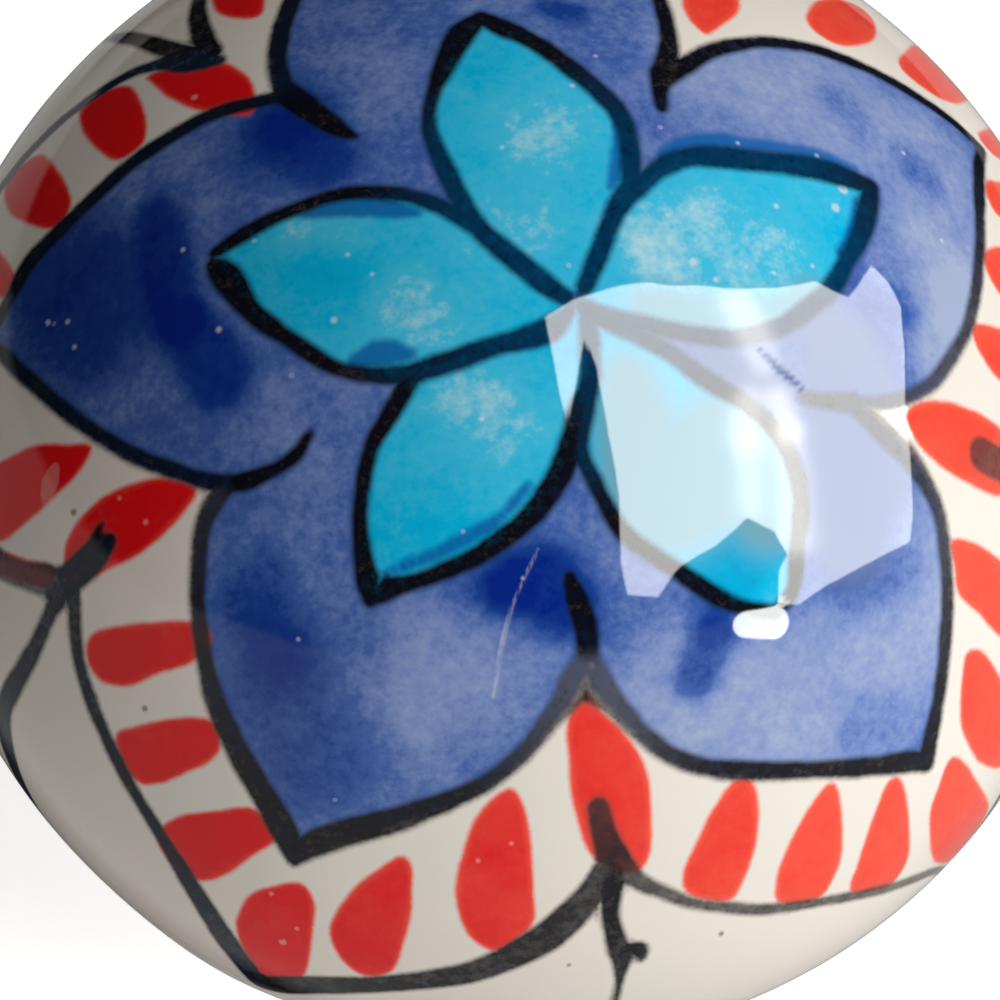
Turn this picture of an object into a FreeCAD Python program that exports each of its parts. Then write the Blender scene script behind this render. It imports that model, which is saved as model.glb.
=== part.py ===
"""Round glazed ceramic cabinet knob, modelled with its domed face up.

The head is one cast piece: a flattened ball on a waist that flares to a foot,
and the foot bears on the door or drawer front. A blind pocket in the foot holds
a knurled brass insert, potted in cement. A machine screw comes through the door
into the insert. Millimetres, +Z along the knob's axis and out of the door,
origin at the centre of the plane that the foot bears on.
"""

import FreeCAD, Part
import os
from math import acos, atan2, degrees, radians, sqrt

import Sketcher

Vector = FreeCAD.Vector
Constraint = Sketcher.Constraint

# Driving sizes by the alias of their cell, in millimetres and degrees.
SIZES = {
    "head_diameter": 40.0,
    "crown_flattening": 3.6,
    "shoulder_inset": 8.0,
    "belly_radius": 9.4,
    "waist_radius": 3.0,
    "neck_wall": 2.3,
    "foot_flare": 1.8,
    "foot_rim_height": 1.4,
    "foot_edge_radius": 0.5,
    "foot_recess_depth": 0.5,
    "foot_recess_ledge": 1.0,
    "pocket_floor_radius": 1.2,
    "pocket_mouth_chamfer": 0.5,
    "insert_diameter": 7.6,
    "insert_length": 12.0,
    "insert_sink": 0.3,
    "insert_end_chamfer": 0.4,
    "insert_end_wall": 1.0,
    "band_gap_width": 1.8,
    "band_gap_depth": 0.7,
    "knurl_depth": 0.35,
    "knurl_angle": 90.0,
    "knurl_pitch": 0.85,
    "thread_core_diameter": 3.3,
    "thread_mouth_diameter": 4.3,
    "thread_mouth_angle": 90.0,
    "drill_point_angle": 118.0,
    "cement_wall": 1.4,
    "cement_cover": 2.6,
    "cement_sink": 0.2,
    "cement_dish": 0.3,
}

# Lengths that follow from the driving sizes, by the alias of their cell.
RESULTS = {
    "pocket_radius": "=insert_diameter / 2 + cement_wall",
    "pocket_depth": "=insert_sink + insert_length + cement_cover",
    "neck_radius": "=pocket_radius + neck_wall",
    "foot_radius": "=neck_radius + foot_flare",
    "recess_radius": "=pocket_radius + pocket_mouth_chamfer + foot_recess_ledge",
    "cement_face": "=foot_recess_depth + pocket_mouth_chamfer + cement_sink",
    "drill_point_height": "=thread_core_diameter / 2 / tan(drill_point_angle / 2)",
}

# How much of a wall the rounding of its two edges may take from each side.
ROUND_SHARE = 0.4

# The sketcher's numbers for an edge's ends, its centre and a sketch's own axes.
START, END, CENTRE = 1, 2, 3
ACROSS, UPWARD = -1, -2
ORIGIN = (-1, 1)


def make_sheet(doc):
    """Writes every size into a cell of its own that carries its alias."""
    sheet = doc.addObject("Spreadsheet::Sheet", "Sizes")
    for row, (alias, value) in enumerate({**SIZES, **RESULTS}.items(), start=1):
        sheet.set(f"A{row}", alias)
        sheet.setAlias(f"B{row}", alias)
        sheet.set(f"B{row}", str(value))
    doc.recompute()
    return sheet


def origin_item(body, role):
    """The origin plane or axis of a body that has this role."""
    return next(item for item in body.Origin.OriginFeatures if item.Role == role)


def new_sketch(body, name, plane):
    """A sketch on one of the body's own origin planes."""
    sketch = body.newObject("Sketcher::SketchObject", name)
    sketch.AttachmentSupport = [(origin_item(body, plane), "")]
    sketch.MapMode = "FlatFace"
    return sketch


def add_line(sketch, start, end):
    return sketch.addGeometry(Part.LineSegment(Vector(*start), Vector(*end)))


def add_arc(sketch, centre, radius, from_deg, to_deg):
    circle = Part.Circle(Vector(*centre), Vector(0, 0, 1), radius)
    return sketch.addGeometry(Part.ArcOfCircle(circle, radians(from_deg), radians(to_deg)))


def bind(sketch, name, formula, kind, *where):
    """Adds a dimension under a name and binds it to cells of the sheet."""
    value = sketch.evalExpression(formula)
    if kind == "Angle":
        value = radians(value)
    index = sketch.addConstraint(Constraint(kind, *where, value))
    sketch.renameConstraint(index, name)
    sketch.setExpression(f"Constraints.{name}", formula)


def hold(sketch, kind, *cases):
    """Adds one geometric constraint of this kind for each case."""
    for case in cases:
        sketch.addConstraint(Constraint(kind, *case))


def add_feature(body, kind, name, **values):
    """A PartDesign feature with these properties. A text starting with = is bound to the sheet."""
    feature = body.newObject(f"PartDesign::{kind}", name)
    for key, value in values.items():
        if isinstance(value, str) and value.startswith("="):
            feature.setExpression(key, value[1:])
        else:
            setattr(feature, key, value)
    return feature


def revolve(body, kind, name, sketch):
    """Turns a half section a full turn round the body's Z axis."""
    axis = (origin_item(body, "Z_Axis"), [""])
    return add_feature(body, kind, name, Profile=sketch, ReferenceAxis=axis, Angle=360.0)


def ring_edges(feature, radius, height):
    """Names of a feature's circular edges of this radius at this height."""
    near = 1e-4
    names = []
    for number, edge in enumerate(feature.Shape.Edges, start=1):
        if edge.Degenerated or not isinstance(edge.Curve, Part.Circle):
            continue
        if abs(edge.Curve.Radius - radius) < near and abs(edge.Curve.Center.z - height) < near:
            names.append(f"Edge{number}")
    return names


def head_outline(body, sheet):
    """Half section of the head, from the foot's recess round the belly to the crown.

    The belly is an oval of tangent arcs. The waist and belly arcs meet end to
    end, the belly and shoulder arcs meet on the widest line, and the crown arc,
    centred on the axis, closes the shape.
    """
    foot, rim = sheet.foot_radius, sheet.foot_rim_height
    ring, recess = sheet.recess_radius, sheet.foot_recess_depth
    waist, belly = sheet.waist_radius, sheet.belly_radius
    head = sheet.head_diameter / 2
    inset = sheet.shoulder_inset
    rise = head - sheet.crown_flattening

    waist_x = sheet.neck_radius + waist
    waist_z = rim + sqrt(waist**2 - (waist_x - foot) ** 2)
    belly_x = head - belly
    wide_z = waist_z + sqrt((belly + waist) ** 2 - (belly_x - waist_x) ** 2)
    shoulder = head - inset
    crown = (inset**2 + rise**2 - shoulder**2) / (2 * (rise - shoulder))
    top_z = wide_z + rise
    foot_turn = 180 + degrees(acos((waist_x - foot) / waist))
    waist_turn = degrees(atan2(wide_z - waist_z, belly_x - waist_x))
    shoulder_turn = degrees(atan2(crown - rise, inset))

    sketch = new_sketch(body, "HeadOutline", "XZ_Plane")
    recess_roof = add_line(sketch, (0, recess), (ring, recess))
    recess_side = add_line(sketch, (ring, recess), (ring, 0))
    bearing = add_line(sketch, (ring, 0), (foot, 0))
    rim_side = add_line(sketch, (foot, 0), (foot, rim))
    waist_arc = add_arc(sketch, (waist_x, waist_z), waist, waist_turn, foot_turn)
    belly_arc = add_arc(sketch, (belly_x, wide_z), belly, waist_turn - 180, 0)
    shoulder_arc = add_arc(sketch, (inset, wide_z), shoulder, 0, shoulder_turn)
    crown_arc = add_arc(sketch, (0, top_z - crown), crown, shoulder_turn, 90)
    axis_line = add_line(sketch, (0, top_z), (0, recess))

    hold(
        sketch,
        "Coincident",
        (recess_roof, END, recess_side, START),
        (recess_side, END, bearing, START),
        (bearing, END, rim_side, START),
        (rim_side, END, waist_arc, END),
        (crown_arc, END, axis_line, START),
        (axis_line, END, recess_roof, START),
    )
    hold(
        sketch,
        "Tangent",
        (waist_arc, START, belly_arc, START),
        (belly_arc, END, shoulder_arc, START),
        (shoulder_arc, END, crown_arc, START),
    )
    hold(sketch, "Horizontal", (recess_roof,), (bearing,), (belly_arc, CENTRE, shoulder_arc, CENTRE))
    hold(sketch, "Vertical", (recess_side,), (rim_side,))
    hold(
        sketch,
        "PointOnObject",
        (bearing, START, ACROSS),
        (axis_line, START, UPWARD),
        (axis_line, END, UPWARD),
        (crown_arc, CENTRE, UPWARD),
    )
    bind(sketch, "HeadRadius", "Sizes.head_diameter / 2", "DistanceX", *ORIGIN, belly_arc, END)
    rise_formula = "Sizes.head_diameter / 2 - Sizes.crown_flattening"
    bind(sketch, "CrownRise", rise_formula, "DistanceY", shoulder_arc, START, crown_arc, END)
    bind(sketch, "ShoulderInset", "Sizes.shoulder_inset", "DistanceX", *ORIGIN, shoulder_arc, CENTRE)
    bind(sketch, "BellyRadius", "Sizes.belly_radius", "Radius", belly_arc)
    bind(sketch, "WaistRadius", "Sizes.waist_radius", "Radius", waist_arc)
    waist_formula = "Sizes.neck_radius + Sizes.waist_radius"
    bind(sketch, "WaistCentre", waist_formula, "DistanceX", *ORIGIN, waist_arc, CENTRE)
    bind(sketch, "FootRadius", "Sizes.foot_radius", "DistanceX", *ORIGIN, rim_side, END)
    bind(sketch, "RimHeight", "Sizes.foot_rim_height", "DistanceY", *ORIGIN, rim_side, END)
    bind(sketch, "RecessRadius", "Sizes.recess_radius", "DistanceX", *ORIGIN, recess_side, START)
    bind(sketch, "RecessDepth", "Sizes.foot_recess_depth", "DistanceY", *ORIGIN, recess_side, START)
    return sketch


def make_head(doc, sheet):
    """The cast and glazed head, with the blind pocket that takes the insert."""
    body = doc.addObject("PartDesign::Body", "ceramic_head")
    revolve(body, "Revolution", "HeadTurned", head_outline(body, sheet))

    mouth = new_sketch(body, "PocketMouth", "XY_Plane")
    circle = mouth.addGeometry(Part.Circle(Vector(), Vector(0, 0, 1), sheet.pocket_radius))
    hold(mouth, "Coincident", (circle, CENTRE, *ORIGIN))
    bind(mouth, "PocketRadius", "Sizes.pocket_radius", "Radius", circle)
    pocket = add_feature(
        body, "Pocket", "InsertPocket", Profile=mouth, Reversed=True, Length="=Sizes.pocket_depth"
    )
    doc.recompute()

    floor_edges = ring_edges(pocket, sheet.pocket_radius, sheet.pocket_depth)
    floor = add_feature(
        body, "Fillet", "PocketFloor", Base=(pocket, floor_edges), Radius="=Sizes.pocket_floor_radius"
    )
    doc.recompute()

    mouth_edges = ring_edges(floor, sheet.pocket_radius, sheet.foot_recess_depth)
    chamfer = add_feature(
        body, "Chamfer", "PocketLead", Base=(floor, mouth_edges), Size="=Sizes.pocket_mouth_chamfer"
    )
    doc.recompute()

    rim_edges = ring_edges(chamfer, sheet.foot_radius, 0)
    rim_edges += ring_edges(chamfer, sheet.foot_radius, sheet.foot_rim_height)
    rim_round = f"=min(Sizes.foot_edge_radius; {ROUND_SHARE} * Sizes.foot_rim_height)"
    rim = add_feature(body, "Fillet", "FootRim", Base=(chamfer, rim_edges), Radius=rim_round)
    doc.recompute()

    recess_edges = ring_edges(rim, sheet.recess_radius, 0)
    recess_round = f"=min(Sizes.foot_edge_radius; {ROUND_SHARE} * Sizes.foot_recess_depth)"
    add_feature(body, "Fillet", "RecessRim", Base=(rim, recess_edges), Radius=recess_round)
    return body


def insert_outline(body, sheet):
    """Half section of the insert's blank: two bands with a gap, both ends chamfered."""
    outer, length = sheet.insert_diameter / 2, sheet.insert_length
    ease = sheet.insert_end_chamfer
    inner = outer - sheet.band_gap_depth
    low = (length - sheet.band_gap_width) / 2
    high = (length + sheet.band_gap_width) / 2
    points = [
        (0, 0),
        (outer - ease, 0),
        (outer, ease),
        (outer, low),
        (inner, low),
        (inner, high),
        (outer, high),
        (outer, length - ease),
        (outer - ease, length),
        (0, length),
    ]
    sketch = new_sketch(body, "InsertOutline", "XZ_Plane")
    edges = [add_line(sketch, a, b) for a, b in zip(points, points[1:] + points[:1])]
    bottom, lead_low, band_low, step_low, gap, step_high, band_high, lead_high, top, axis = edges
    hold(sketch, "Coincident", *[(a, END, b, START) for a, b in zip(edges, edges[1:])])
    hold(sketch, "Coincident", (axis, END, *ORIGIN))
    hold(sketch, "Coincident", (bottom, START, *ORIGIN))
    hold(sketch, "Horizontal", (bottom,), (step_low,), (step_high,), (top,))
    hold(sketch, "Vertical", (band_low,), (gap,), (axis,), (band_low, END, band_high, START))
    hold(sketch, "Vertical", (band_high,), (bottom, END, top, START))
    hold(sketch, "Equal", (band_low, band_high), (lead_low, lead_high))
    bind(sketch, "OuterRadius", "Sizes.insert_diameter / 2", "DistanceX", *ORIGIN, band_low, START)
    bind(sketch, "Length", "Sizes.insert_length", "DistanceY", *ORIGIN, axis, START)
    bind(sketch, "LeadAcross", "Sizes.insert_end_chamfer", "DistanceX", lead_low, START, lead_low, END)
    bind(sketch, "LeadUp", "Sizes.insert_end_chamfer", "DistanceY", lead_low, START, lead_low, END)
    bind(sketch, "GapWidth", "Sizes.band_gap_width", "DistanceY", gap, START, gap, END)
    bind(sketch, "GapDepth", "Sizes.band_gap_depth", "DistanceX", step_low, END, step_low, START)
    return sketch


def knurl_notch(body, sheet):
    """A vee whose point lies inside the blank's surface and whose mouth lies outside it."""
    point = sheet.insert_diameter / 2 - sheet.knurl_depth
    mouth = point + 2 * sheet.knurl_depth
    half = mouth - point
    sketch = new_sketch(body, "KnurlNotch", "XY_Plane")
    right = add_line(sketch, (point, 0), (mouth, -half))
    back = add_line(sketch, (mouth, -half), (mouth, half))
    left = add_line(sketch, (mouth, half), (point, 0))
    hold(
        sketch,
        "Coincident",
        (right, END, back, START),
        (back, END, left, START),
        (left, END, right, START),
    )
    hold(sketch, "PointOnObject", (right, START, ACROSS))
    hold(sketch, "Symmetric", (back, START, back, END, ACROSS))
    point_formula = "Sizes.insert_diameter / 2 - Sizes.knurl_depth"
    bind(sketch, "PointRadius", point_formula, "DistanceX", *ORIGIN, right, START)
    bind(sketch, "Reach", "2 * Sizes.knurl_depth", "DistanceX", right, START, right, END)
    bind(sketch, "Angle", "Sizes.knurl_angle", "Angle", right, START, left, END)
    return sketch


def make_insert(doc, sheet):
    """The brass insert: a grooved blank, knurled along its length and drilled for an M4 thread."""
    body = doc.addObject("PartDesign::Body", "threaded_insert")
    body.setExpression("Placement.Base.z", "Sizes.insert_sink")
    revolve(body, "Revolution", "Blank", insert_outline(body, sheet))
    notch = add_feature(
        body, "Pocket", "Notch", Profile=knurl_notch(body, sheet), Type="ThroughAll", Reversed=True
    )
    knurl = add_feature(body, "PolarPattern", "Knurl", Originals=[notch], Angle=360.0)
    knurl.Axis = (origin_item(body, "Z_Axis"), [""])
    knurl.setExpression("Occurrences", "round(pi * Sizes.insert_diameter / Sizes.knurl_pitch)")
    body.Tip = knurl
    doc.recompute()

    start = new_sketch(body, "BoreStart", "XY_Plane")
    circle = start.addGeometry(Part.Circle(Vector(), Vector(0, 0, 1), sheet.thread_core_diameter / 2))
    hold(start, "Coincident", (circle, CENTRE, *ORIGIN))
    bind(start, "CoreDiameter", "Sizes.thread_core_diameter", "Diameter", circle)
    doc.recompute()
    add_feature(
        body,
        "Hole",
        "Bore",
        Profile=start,
        Reversed=True,
        DepthType="Dimension",
        DrillPoint="Angled",
        DrillPointAngle="=Sizes.drill_point_angle",
        Diameter="=Sizes.thread_core_diameter",
        Depth="=Sizes.insert_length - Sizes.insert_end_wall - Sizes.drill_point_height",
        HoleCutType="Countersink",
        HoleCutCustomValues=True,
        HoleCutDiameter="=Sizes.thread_mouth_diameter",
        HoleCutCountersinkAngle="=Sizes.thread_mouth_angle",
    )
    return body


def plug_outline(body, sheet):
    """Half section of the filled pocket, with a shallow dish where the cement shows."""
    wall, inner = sheet.pocket_radius, sheet.insert_diameter / 2
    face, floor = sheet.cement_face, sheet.pocket_depth
    bend, dish = sheet.pocket_floor_radius, sheet.cement_dish
    chord = wall - inner
    dish_radius = (chord**2 / 4 + dish**2) / (2 * dish)
    lean = degrees(acos(chord / 2 / dish_radius))
    dish_centre = ((wall + inner) / 2, face + dish - dish_radius)

    sketch = new_sketch(body, "PlugOutline", "XZ_Plane")
    core = add_line(sketch, (0, face), (inner, face))
    dish_arc = add_arc(sketch, dish_centre, dish_radius, lean, 180 - lean)
    side = add_line(sketch, (wall, face), (wall, floor - bend))
    corner = add_arc(sketch, (wall - bend, floor - bend), bend, 0, 90)
    roof = add_line(sketch, (wall - bend, floor), (0, floor))
    axis = add_line(sketch, (0, floor), (0, face))
    hold(
        sketch,
        "Coincident",
        (core, END, dish_arc, END),
        (dish_arc, START, side, START),
        (roof, END, axis, START),
        (axis, END, core, START),
    )
    hold(sketch, "Tangent", (side, END, corner, START), (corner, END, roof, START))
    hold(sketch, "Horizontal", (core,), (roof,), (core, END, side, START))
    hold(sketch, "Vertical", (side,))
    hold(sketch, "PointOnObject", (axis, START, UPWARD), (axis, END, UPWARD))
    bind(sketch, "PocketRadius", "Sizes.pocket_radius", "DistanceX", *ORIGIN, side, START)
    bind(sketch, "InsertRadius", "Sizes.insert_diameter / 2", "DistanceX", *ORIGIN, core, END)
    bind(sketch, "Face", "Sizes.cement_face", "DistanceY", *ORIGIN, axis, END)
    bind(sketch, "Floor", "Sizes.pocket_depth", "DistanceY", *ORIGIN, axis, START)
    bind(sketch, "FloorRadius", "Sizes.pocket_floor_radius", "Radius", corner)
    dish_formula = "(Sizes.cement_wall^2 / 4 + Sizes.cement_dish^2) / (2 * Sizes.cement_dish)"
    bind(sketch, "DishRadius", dish_formula, "Radius", dish_arc)
    return sketch


def make_cement(doc, sheet, insert):
    """The cement: what fills the pocket round the insert and over its blind end."""
    plug = doc.addObject("PartDesign::Body", "PocketFill")
    revolve(plug, "Revolution", "PocketFillTurned", plug_outline(plug, sheet))

    bore_fill = doc.addObject("Part::Cylinder", "BoreFill")
    bore_fill.setExpression("Radius", "Sizes.insert_diameter / 2 - Sizes.band_gap_depth")
    bore_fill.setExpression("Height", "Sizes.insert_length")
    bore_fill.setExpression("Placement.Base.z", "Sizes.insert_sink")
    undrilled = doc.addObject("Part::Fuse", "UndrilledInsert")
    undrilled.Base = insert
    undrilled.Tool = bore_fill

    cement = doc.addObject("Part::Cut", "potting_cement")
    cement.Base = plug
    cement.Tool = undrilled
    return cement


def check_model(doc, pieces):
    """Stops if a feature failed, a sketch is loose, a cut missed or a piece isn't one solid."""
    for item in doc.Objects:
        if {"Invalid", "Error"} & set(item.State):
            raise RuntimeError(f"{item.Label} failed: {item.State}")
        if item.TypeId == "Sketcher::SketchObject" and not item.FullyConstrained:
            raise RuntimeError(f"{item.Label} is not fully constrained")
        if item.TypeId in ("PartDesign::Pocket", "PartDesign::PolarPattern", "PartDesign::Hole"):
            if item.Shape.Volume >= item.BaseFeature.Shape.Volume:
                raise RuntimeError(f"{item.Label} cuts nothing")
    for piece in pieces:
        shape = piece.Shape
        if shape.isNull() or not shape.isValid() or len(shape.Solids) != 1:
            raise RuntimeError(f"{piece.Label} is not one valid solid")


def main():
    doc = FreeCAD.newDocument("cabinet_knob")
    sheet = make_sheet(doc)
    head = make_head(doc, sheet)
    insert = make_insert(doc, sheet)
    cement = make_cement(doc, sheet, insert)
    doc.recompute()
    pieces = [head, insert, cement]
    check_model(doc, pieces)
    os.makedirs("parts", exist_ok=True)
    for piece in pieces:
        piece.Shape.exportStep(f"parts/{piece.Label}.step")
        box = piece.Shape.BoundBox
        print(f"{piece.Label}: {piece.Shape.Volume:.1f} mm3, z {box.ZMin:.2f} to {box.ZMax:.2f}")


main()
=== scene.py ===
"""Looks of a hand painted, glazed ceramic cabinet knob, laid out as an add-on.

Metres, +Z out of the door, origin at the centre of the plane that the foot bears on.
The face is painted on a flat map of it: x to the right and y up, as a painter sees the
face, in millimetres, where a point's distance from the origin is the way along the
glaze from the top of the dome. Strokes are lists of (x, y, width) on that map.
"""

from math import atan2, pi, radians, sqrt, tan

import bpy
import numpy as np
from bpy.props import FloatProperty, FloatVectorProperty, IntProperty, PointerProperty
from mathutils import Matrix, Vector


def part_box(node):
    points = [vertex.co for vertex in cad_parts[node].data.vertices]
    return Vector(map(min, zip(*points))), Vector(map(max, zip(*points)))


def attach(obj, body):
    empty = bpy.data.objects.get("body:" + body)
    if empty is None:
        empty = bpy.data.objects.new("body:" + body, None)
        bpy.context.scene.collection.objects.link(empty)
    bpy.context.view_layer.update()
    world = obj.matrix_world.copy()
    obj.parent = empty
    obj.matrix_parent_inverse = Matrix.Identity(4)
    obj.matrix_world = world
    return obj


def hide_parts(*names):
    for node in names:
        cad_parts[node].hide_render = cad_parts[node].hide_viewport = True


bl_info = {
    "name": "Painted Cabinet Knob",
    "version": (1, 0, 0),
    "blender": (4, 5, 0),
    "location": "View3D > Sidebar > Knob",
    "description": "Builds a hand painted, glazed cabinet knob, its brass insert and a small studio",
    "category": "Add Mesh",
}

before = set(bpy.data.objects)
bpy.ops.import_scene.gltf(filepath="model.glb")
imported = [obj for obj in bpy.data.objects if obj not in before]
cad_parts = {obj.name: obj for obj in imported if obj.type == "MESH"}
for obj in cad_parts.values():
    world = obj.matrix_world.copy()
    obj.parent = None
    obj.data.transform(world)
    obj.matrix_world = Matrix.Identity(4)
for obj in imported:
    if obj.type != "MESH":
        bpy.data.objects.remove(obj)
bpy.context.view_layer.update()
HEAD_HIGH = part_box("ceramic_head")[1]
INSERT_LOW, INSERT_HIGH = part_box("threaded_insert")

MM = 0.001
FIELD_REACH = 3.0
SPLINE_STEP = 0.35

# The turquoise petals of the flower's heart: each has one stroke down either side, tip first.
# Then how far the colour runs out past its strokes, and how far out their black holds blue.
HEART_PETALS = {
    "upper": (
        [(-2.6, 11.5, 0.6), (-3.3, 10.7, 1.0), (-3.85, 9.5, 0.85), (-4.4, 8.0, 0.5), (-4.6, 7.0, 0.46),
         (-4.5, 6.0, 0.55), (-3.8, 4.0, 0.7), (-3.0, 2.45, 0.65), (-1.2, 0.65, 0.65), (-0.3, 0.05, 0.6)],
        [(-2.6, 11.5, 0.6), (-2.0, 11.0, 0.85), (-1.0, 10.3, 0.75), (0.0, 9.3, 0.72), (1.0, 8.2, 0.7),
         (1.8, 7.1, 0.7), (2.05, 6.0, 0.7), (2.0, 4.3, 0.66), (1.5, 3.4, 0.64), (0.6, 1.1, 0.62),
         (0.3, 0.4, 0.55)],
        0.0, 9.5,
    ),
    "right": (
        [(11.0, 5.7, 0.7), (10.2, 5.8, 0.85), (9.0, 5.9, 0.9), (7.0, 5.8, 0.85), (5.0, 5.65, 0.9),
         (4.0, 5.5, 0.8), (3.1, 5.0, 0.7), (2.3, 4.2, 0.65), (1.5, 3.2, 0.6), (0.3, 0.4, 0.4)],
        [(11.0, 5.7, 0.7), (10.75, 4.8, 0.85), (10.3, 3.5, 0.75), (9.7, 2.5, 0.65), (9.0, 1.3, 0.7),
         (8.1, 0.45, 0.65), (7.0, -0.4, 0.6), (5.5, -0.95, 0.6), (4.0, -1.0, 0.6), (2.0, -0.7, 0.6),
         (0.3, -0.3, 0.5)],
        0.05, 13.5,
    ),
    "lower_right": (
        [(7.2, -10.0, 0.4), (5.6, -9.8, 0.55), (4.4, -9.3, 0.6), (3.5, -8.8, 0.55), (2.6, -8.3, 0.55),
         (1.5, -7.5, 0.55), (0.5, -5.8, 0.55), (0.1, -4.9, 0.6), (0.25, -3.8, 0.6), (0.45, -2.5, 0.65),
         (0.4, -0.3, 0.6)],
        [(7.2, -10.0, 0.4), (7.75, -9.2, 0.5), (7.8, -8.0, 0.6), (7.8, -6.0, 0.6), (7.2, -4.4, 0.6),
         (6.0, -3.3, 0.6), (4.4, -2.5, 0.6), (2.6, -1.4, 0.6), (0.6, -0.6, 0.5)],
        0.0, 7.0,
    ),
    "lower_left": (
        [(-6.85, -9.9, 0.5), (-6.95, -9.2, 0.85), (-7.05, -8.5, 0.65), (-7.15, -7.0, 0.55),
         (-6.8, -5.0, 0.55), (-6.25, -4.0, 0.6), (-5.75, -3.2, 0.65), (-5.0, -2.3, 0.65),
         (-2.5, -1.55, 0.5), (-0.3, -0.5, 0.4)],
        [(-6.85, -9.9, 0.5), (-6.2, -9.5, 0.8), (-5.6, -9.35, 0.55), (-4.3, -8.95, 0.6),
         (-2.8, -8.2, 0.68), (-1.45, -7.15, 0.75), (-0.6, -5.9, 0.8), (-0.1, -4.7, 0.9),
         (0.15, -3.6, 0.8), (0.45, -2.5, 0.65), (0.4, -0.3, 0.6)],
        0.0, 4.5,
    ),
    "left": (
        [(-12.0, 2.7, 0.45), (-11.0, 3.2, 0.62), (-10.0, 3.6, 0.55), (-9.0, 3.9, 0.5), (-8.0, 4.15, 0.5),
         (-7.0, 4.2, 0.5), (-6.0, 4.05, 0.55), (-5.0, 3.75, 0.55), (-4.0, 3.2, 0.6), (-3.0, 2.45, 0.6),
         (-0.3, 0.05, 0.5)],
        [(-12.1, 2.25, 0.5), (-11.6, 1.7, 1.1), (-10.75, 0.3, 0.75), (-9.3, -1.0, 0.62),
         (-7.8, -2.1, 0.52), (-6.0, -2.45, 0.6), (-4.5, -2.2, 0.75), (-2.5, -1.55, 0.65),
         (-0.9, -1.2, 0.6), (-0.2, -0.4, 0.4)],
        0.05, 8.0,
    ),
}

# The blue petals behind them, in the order round the face, as strokes that join end to end.
BLUE_PETALS = {
    "upper_right_top": [(3.5, 8.9, 0.9), (4.2, 9.4, 0.75), (5.4, 10.4, 0.65), (6.9, 11.2, 0.6),
                        (8.6, 11.7, 0.55), (10.3, 11.85, 0.55), (12.6, 11.7, 0.55), (14.9, 11.3, 0.55),
                        (16.4, 10.95, 0.5), (17.7, 10.4, 0.5)],
    "upper_right_side": [(17.7, 10.4, 0.5), (17.05, 9.1, 0.6), (16.55, 7.3, 0.6), (15.9, 4.3, 0.5),
                         (15.0, 1.4, 0.5), (13.5, -0.9, 0.5), (12.6, -1.7, 0.5), (11.7, -2.2, 0.5),
                         (10.6, -2.5, 0.45), (9.8, -2.65, 0.4)],
    "lower_right_side": [(9.8, -2.65, 0.75), (11.1, -3.5, 0.85), (12.2, -4.2, 0.78), (12.9, -4.9, 0.66),
                         (13.6, -5.8, 0.6), (14.0, -7.0, 0.58), (14.4, -8.6, 0.58), (14.65, -10.6, 0.6),
                         (14.8, -12.7, 0.65), (14.8, -14.0, 0.8), (14.95, -14.85, 0.7)],
    "lower_right_foot": [(14.95, -14.85, 0.7), (14.3, -14.8, 0.85), (12.6, -15.05, 0.75),
                         (10.3, -15.3, 0.65), (6.9, -15.5, 0.68), (5.1, -15.4, 0.62),
                         (3.8, -15.0, 0.62), (2.7, -14.3, 0.65), (1.7, -13.4, 0.85), (0.9, -12.6, 1.2),
                         (0.6, -11.9, 0.72)],
    "lower_left_foot": [(0.6, -11.9, 0.72), (0.25, -12.6, 1.2), (-0.2, -13.4, 0.85), (-0.75, -14.1, 0.68),
                        (-1.4, -15.0, 0.62), (-2.5, -16.0, 0.62), (-3.8, -16.7, 0.68),
                        (-6.0, -17.6, 0.95), (-7.7, -18.1, 1.05), (-9.3, -18.7, 1.05),
                        (-10.0, -19.3, 0.6)],
    "lower_left_side": [(-10.0, -19.3, 0.6), (-10.3, -18.2, 1.1), (-11.2, -16.4, 0.98),
                        (-12.0, -14.8, 0.9), (-12.6, -13.3, 0.78), (-12.9, -11.7, 0.62),
                        (-13.05, -10.0, 0.6), (-13.0, -8.9, 0.6), (-12.75, -7.2, 0.62),
                        (-12.3, -6.3, 0.68), (-11.8, -5.7, 0.75)],
    "left_foot": [(-11.8, -5.65, 0.7), (-12.9, -5.3, 0.6), (-14.0, -4.8, 0.6), (-15.5, -4.0, 0.6),
                  (-17.8, -2.2, 0.6), (-20.0, 0.0, 0.6), (-21.0, 1.1, 0.6), (-21.9, 1.9, 0.4)],
    "left_top": [(-21.9, 1.9, 0.4), (-21.3, 2.8, 0.6), (-20.6, 3.7, 0.7), (-19.8, 4.7, 0.85),
                 (-18.6, 5.5, 0.75), (-17.1, 6.4, 0.7), (-15.5, 7.4, 0.7), (-13.7, 8.2, 0.65),
                 (-12.1, 8.7, 0.6), (-10.5, 8.75, 0.6), (-9.5, 8.8, 0.6)],
    "top_left": [(-9.5, 8.8, 0.8), (-9.75, 10.0, 0.75), (-9.8, 11.0, 0.75), (-9.6, 12.6, 0.75),
                 (-9.2, 14.2, 0.75), (-8.5, 16.3, 0.7), (-7.2, 18.6, 0.6), (-5.2, 20.9, 0.5)],
    "top_right": [(-5.2, 20.9, 0.5), (-2.2, 19.6, 0.6), (0.6, 17.9, 0.6), (2.6, 15.8, 0.6),
                  (3.6, 13.9, 0.6), (3.9, 12.2, 0.62), (3.9, 10.9, 0.66), (3.8, 10.0, 0.8),
                  (3.5, 8.9, 1.0)],
}

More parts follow.
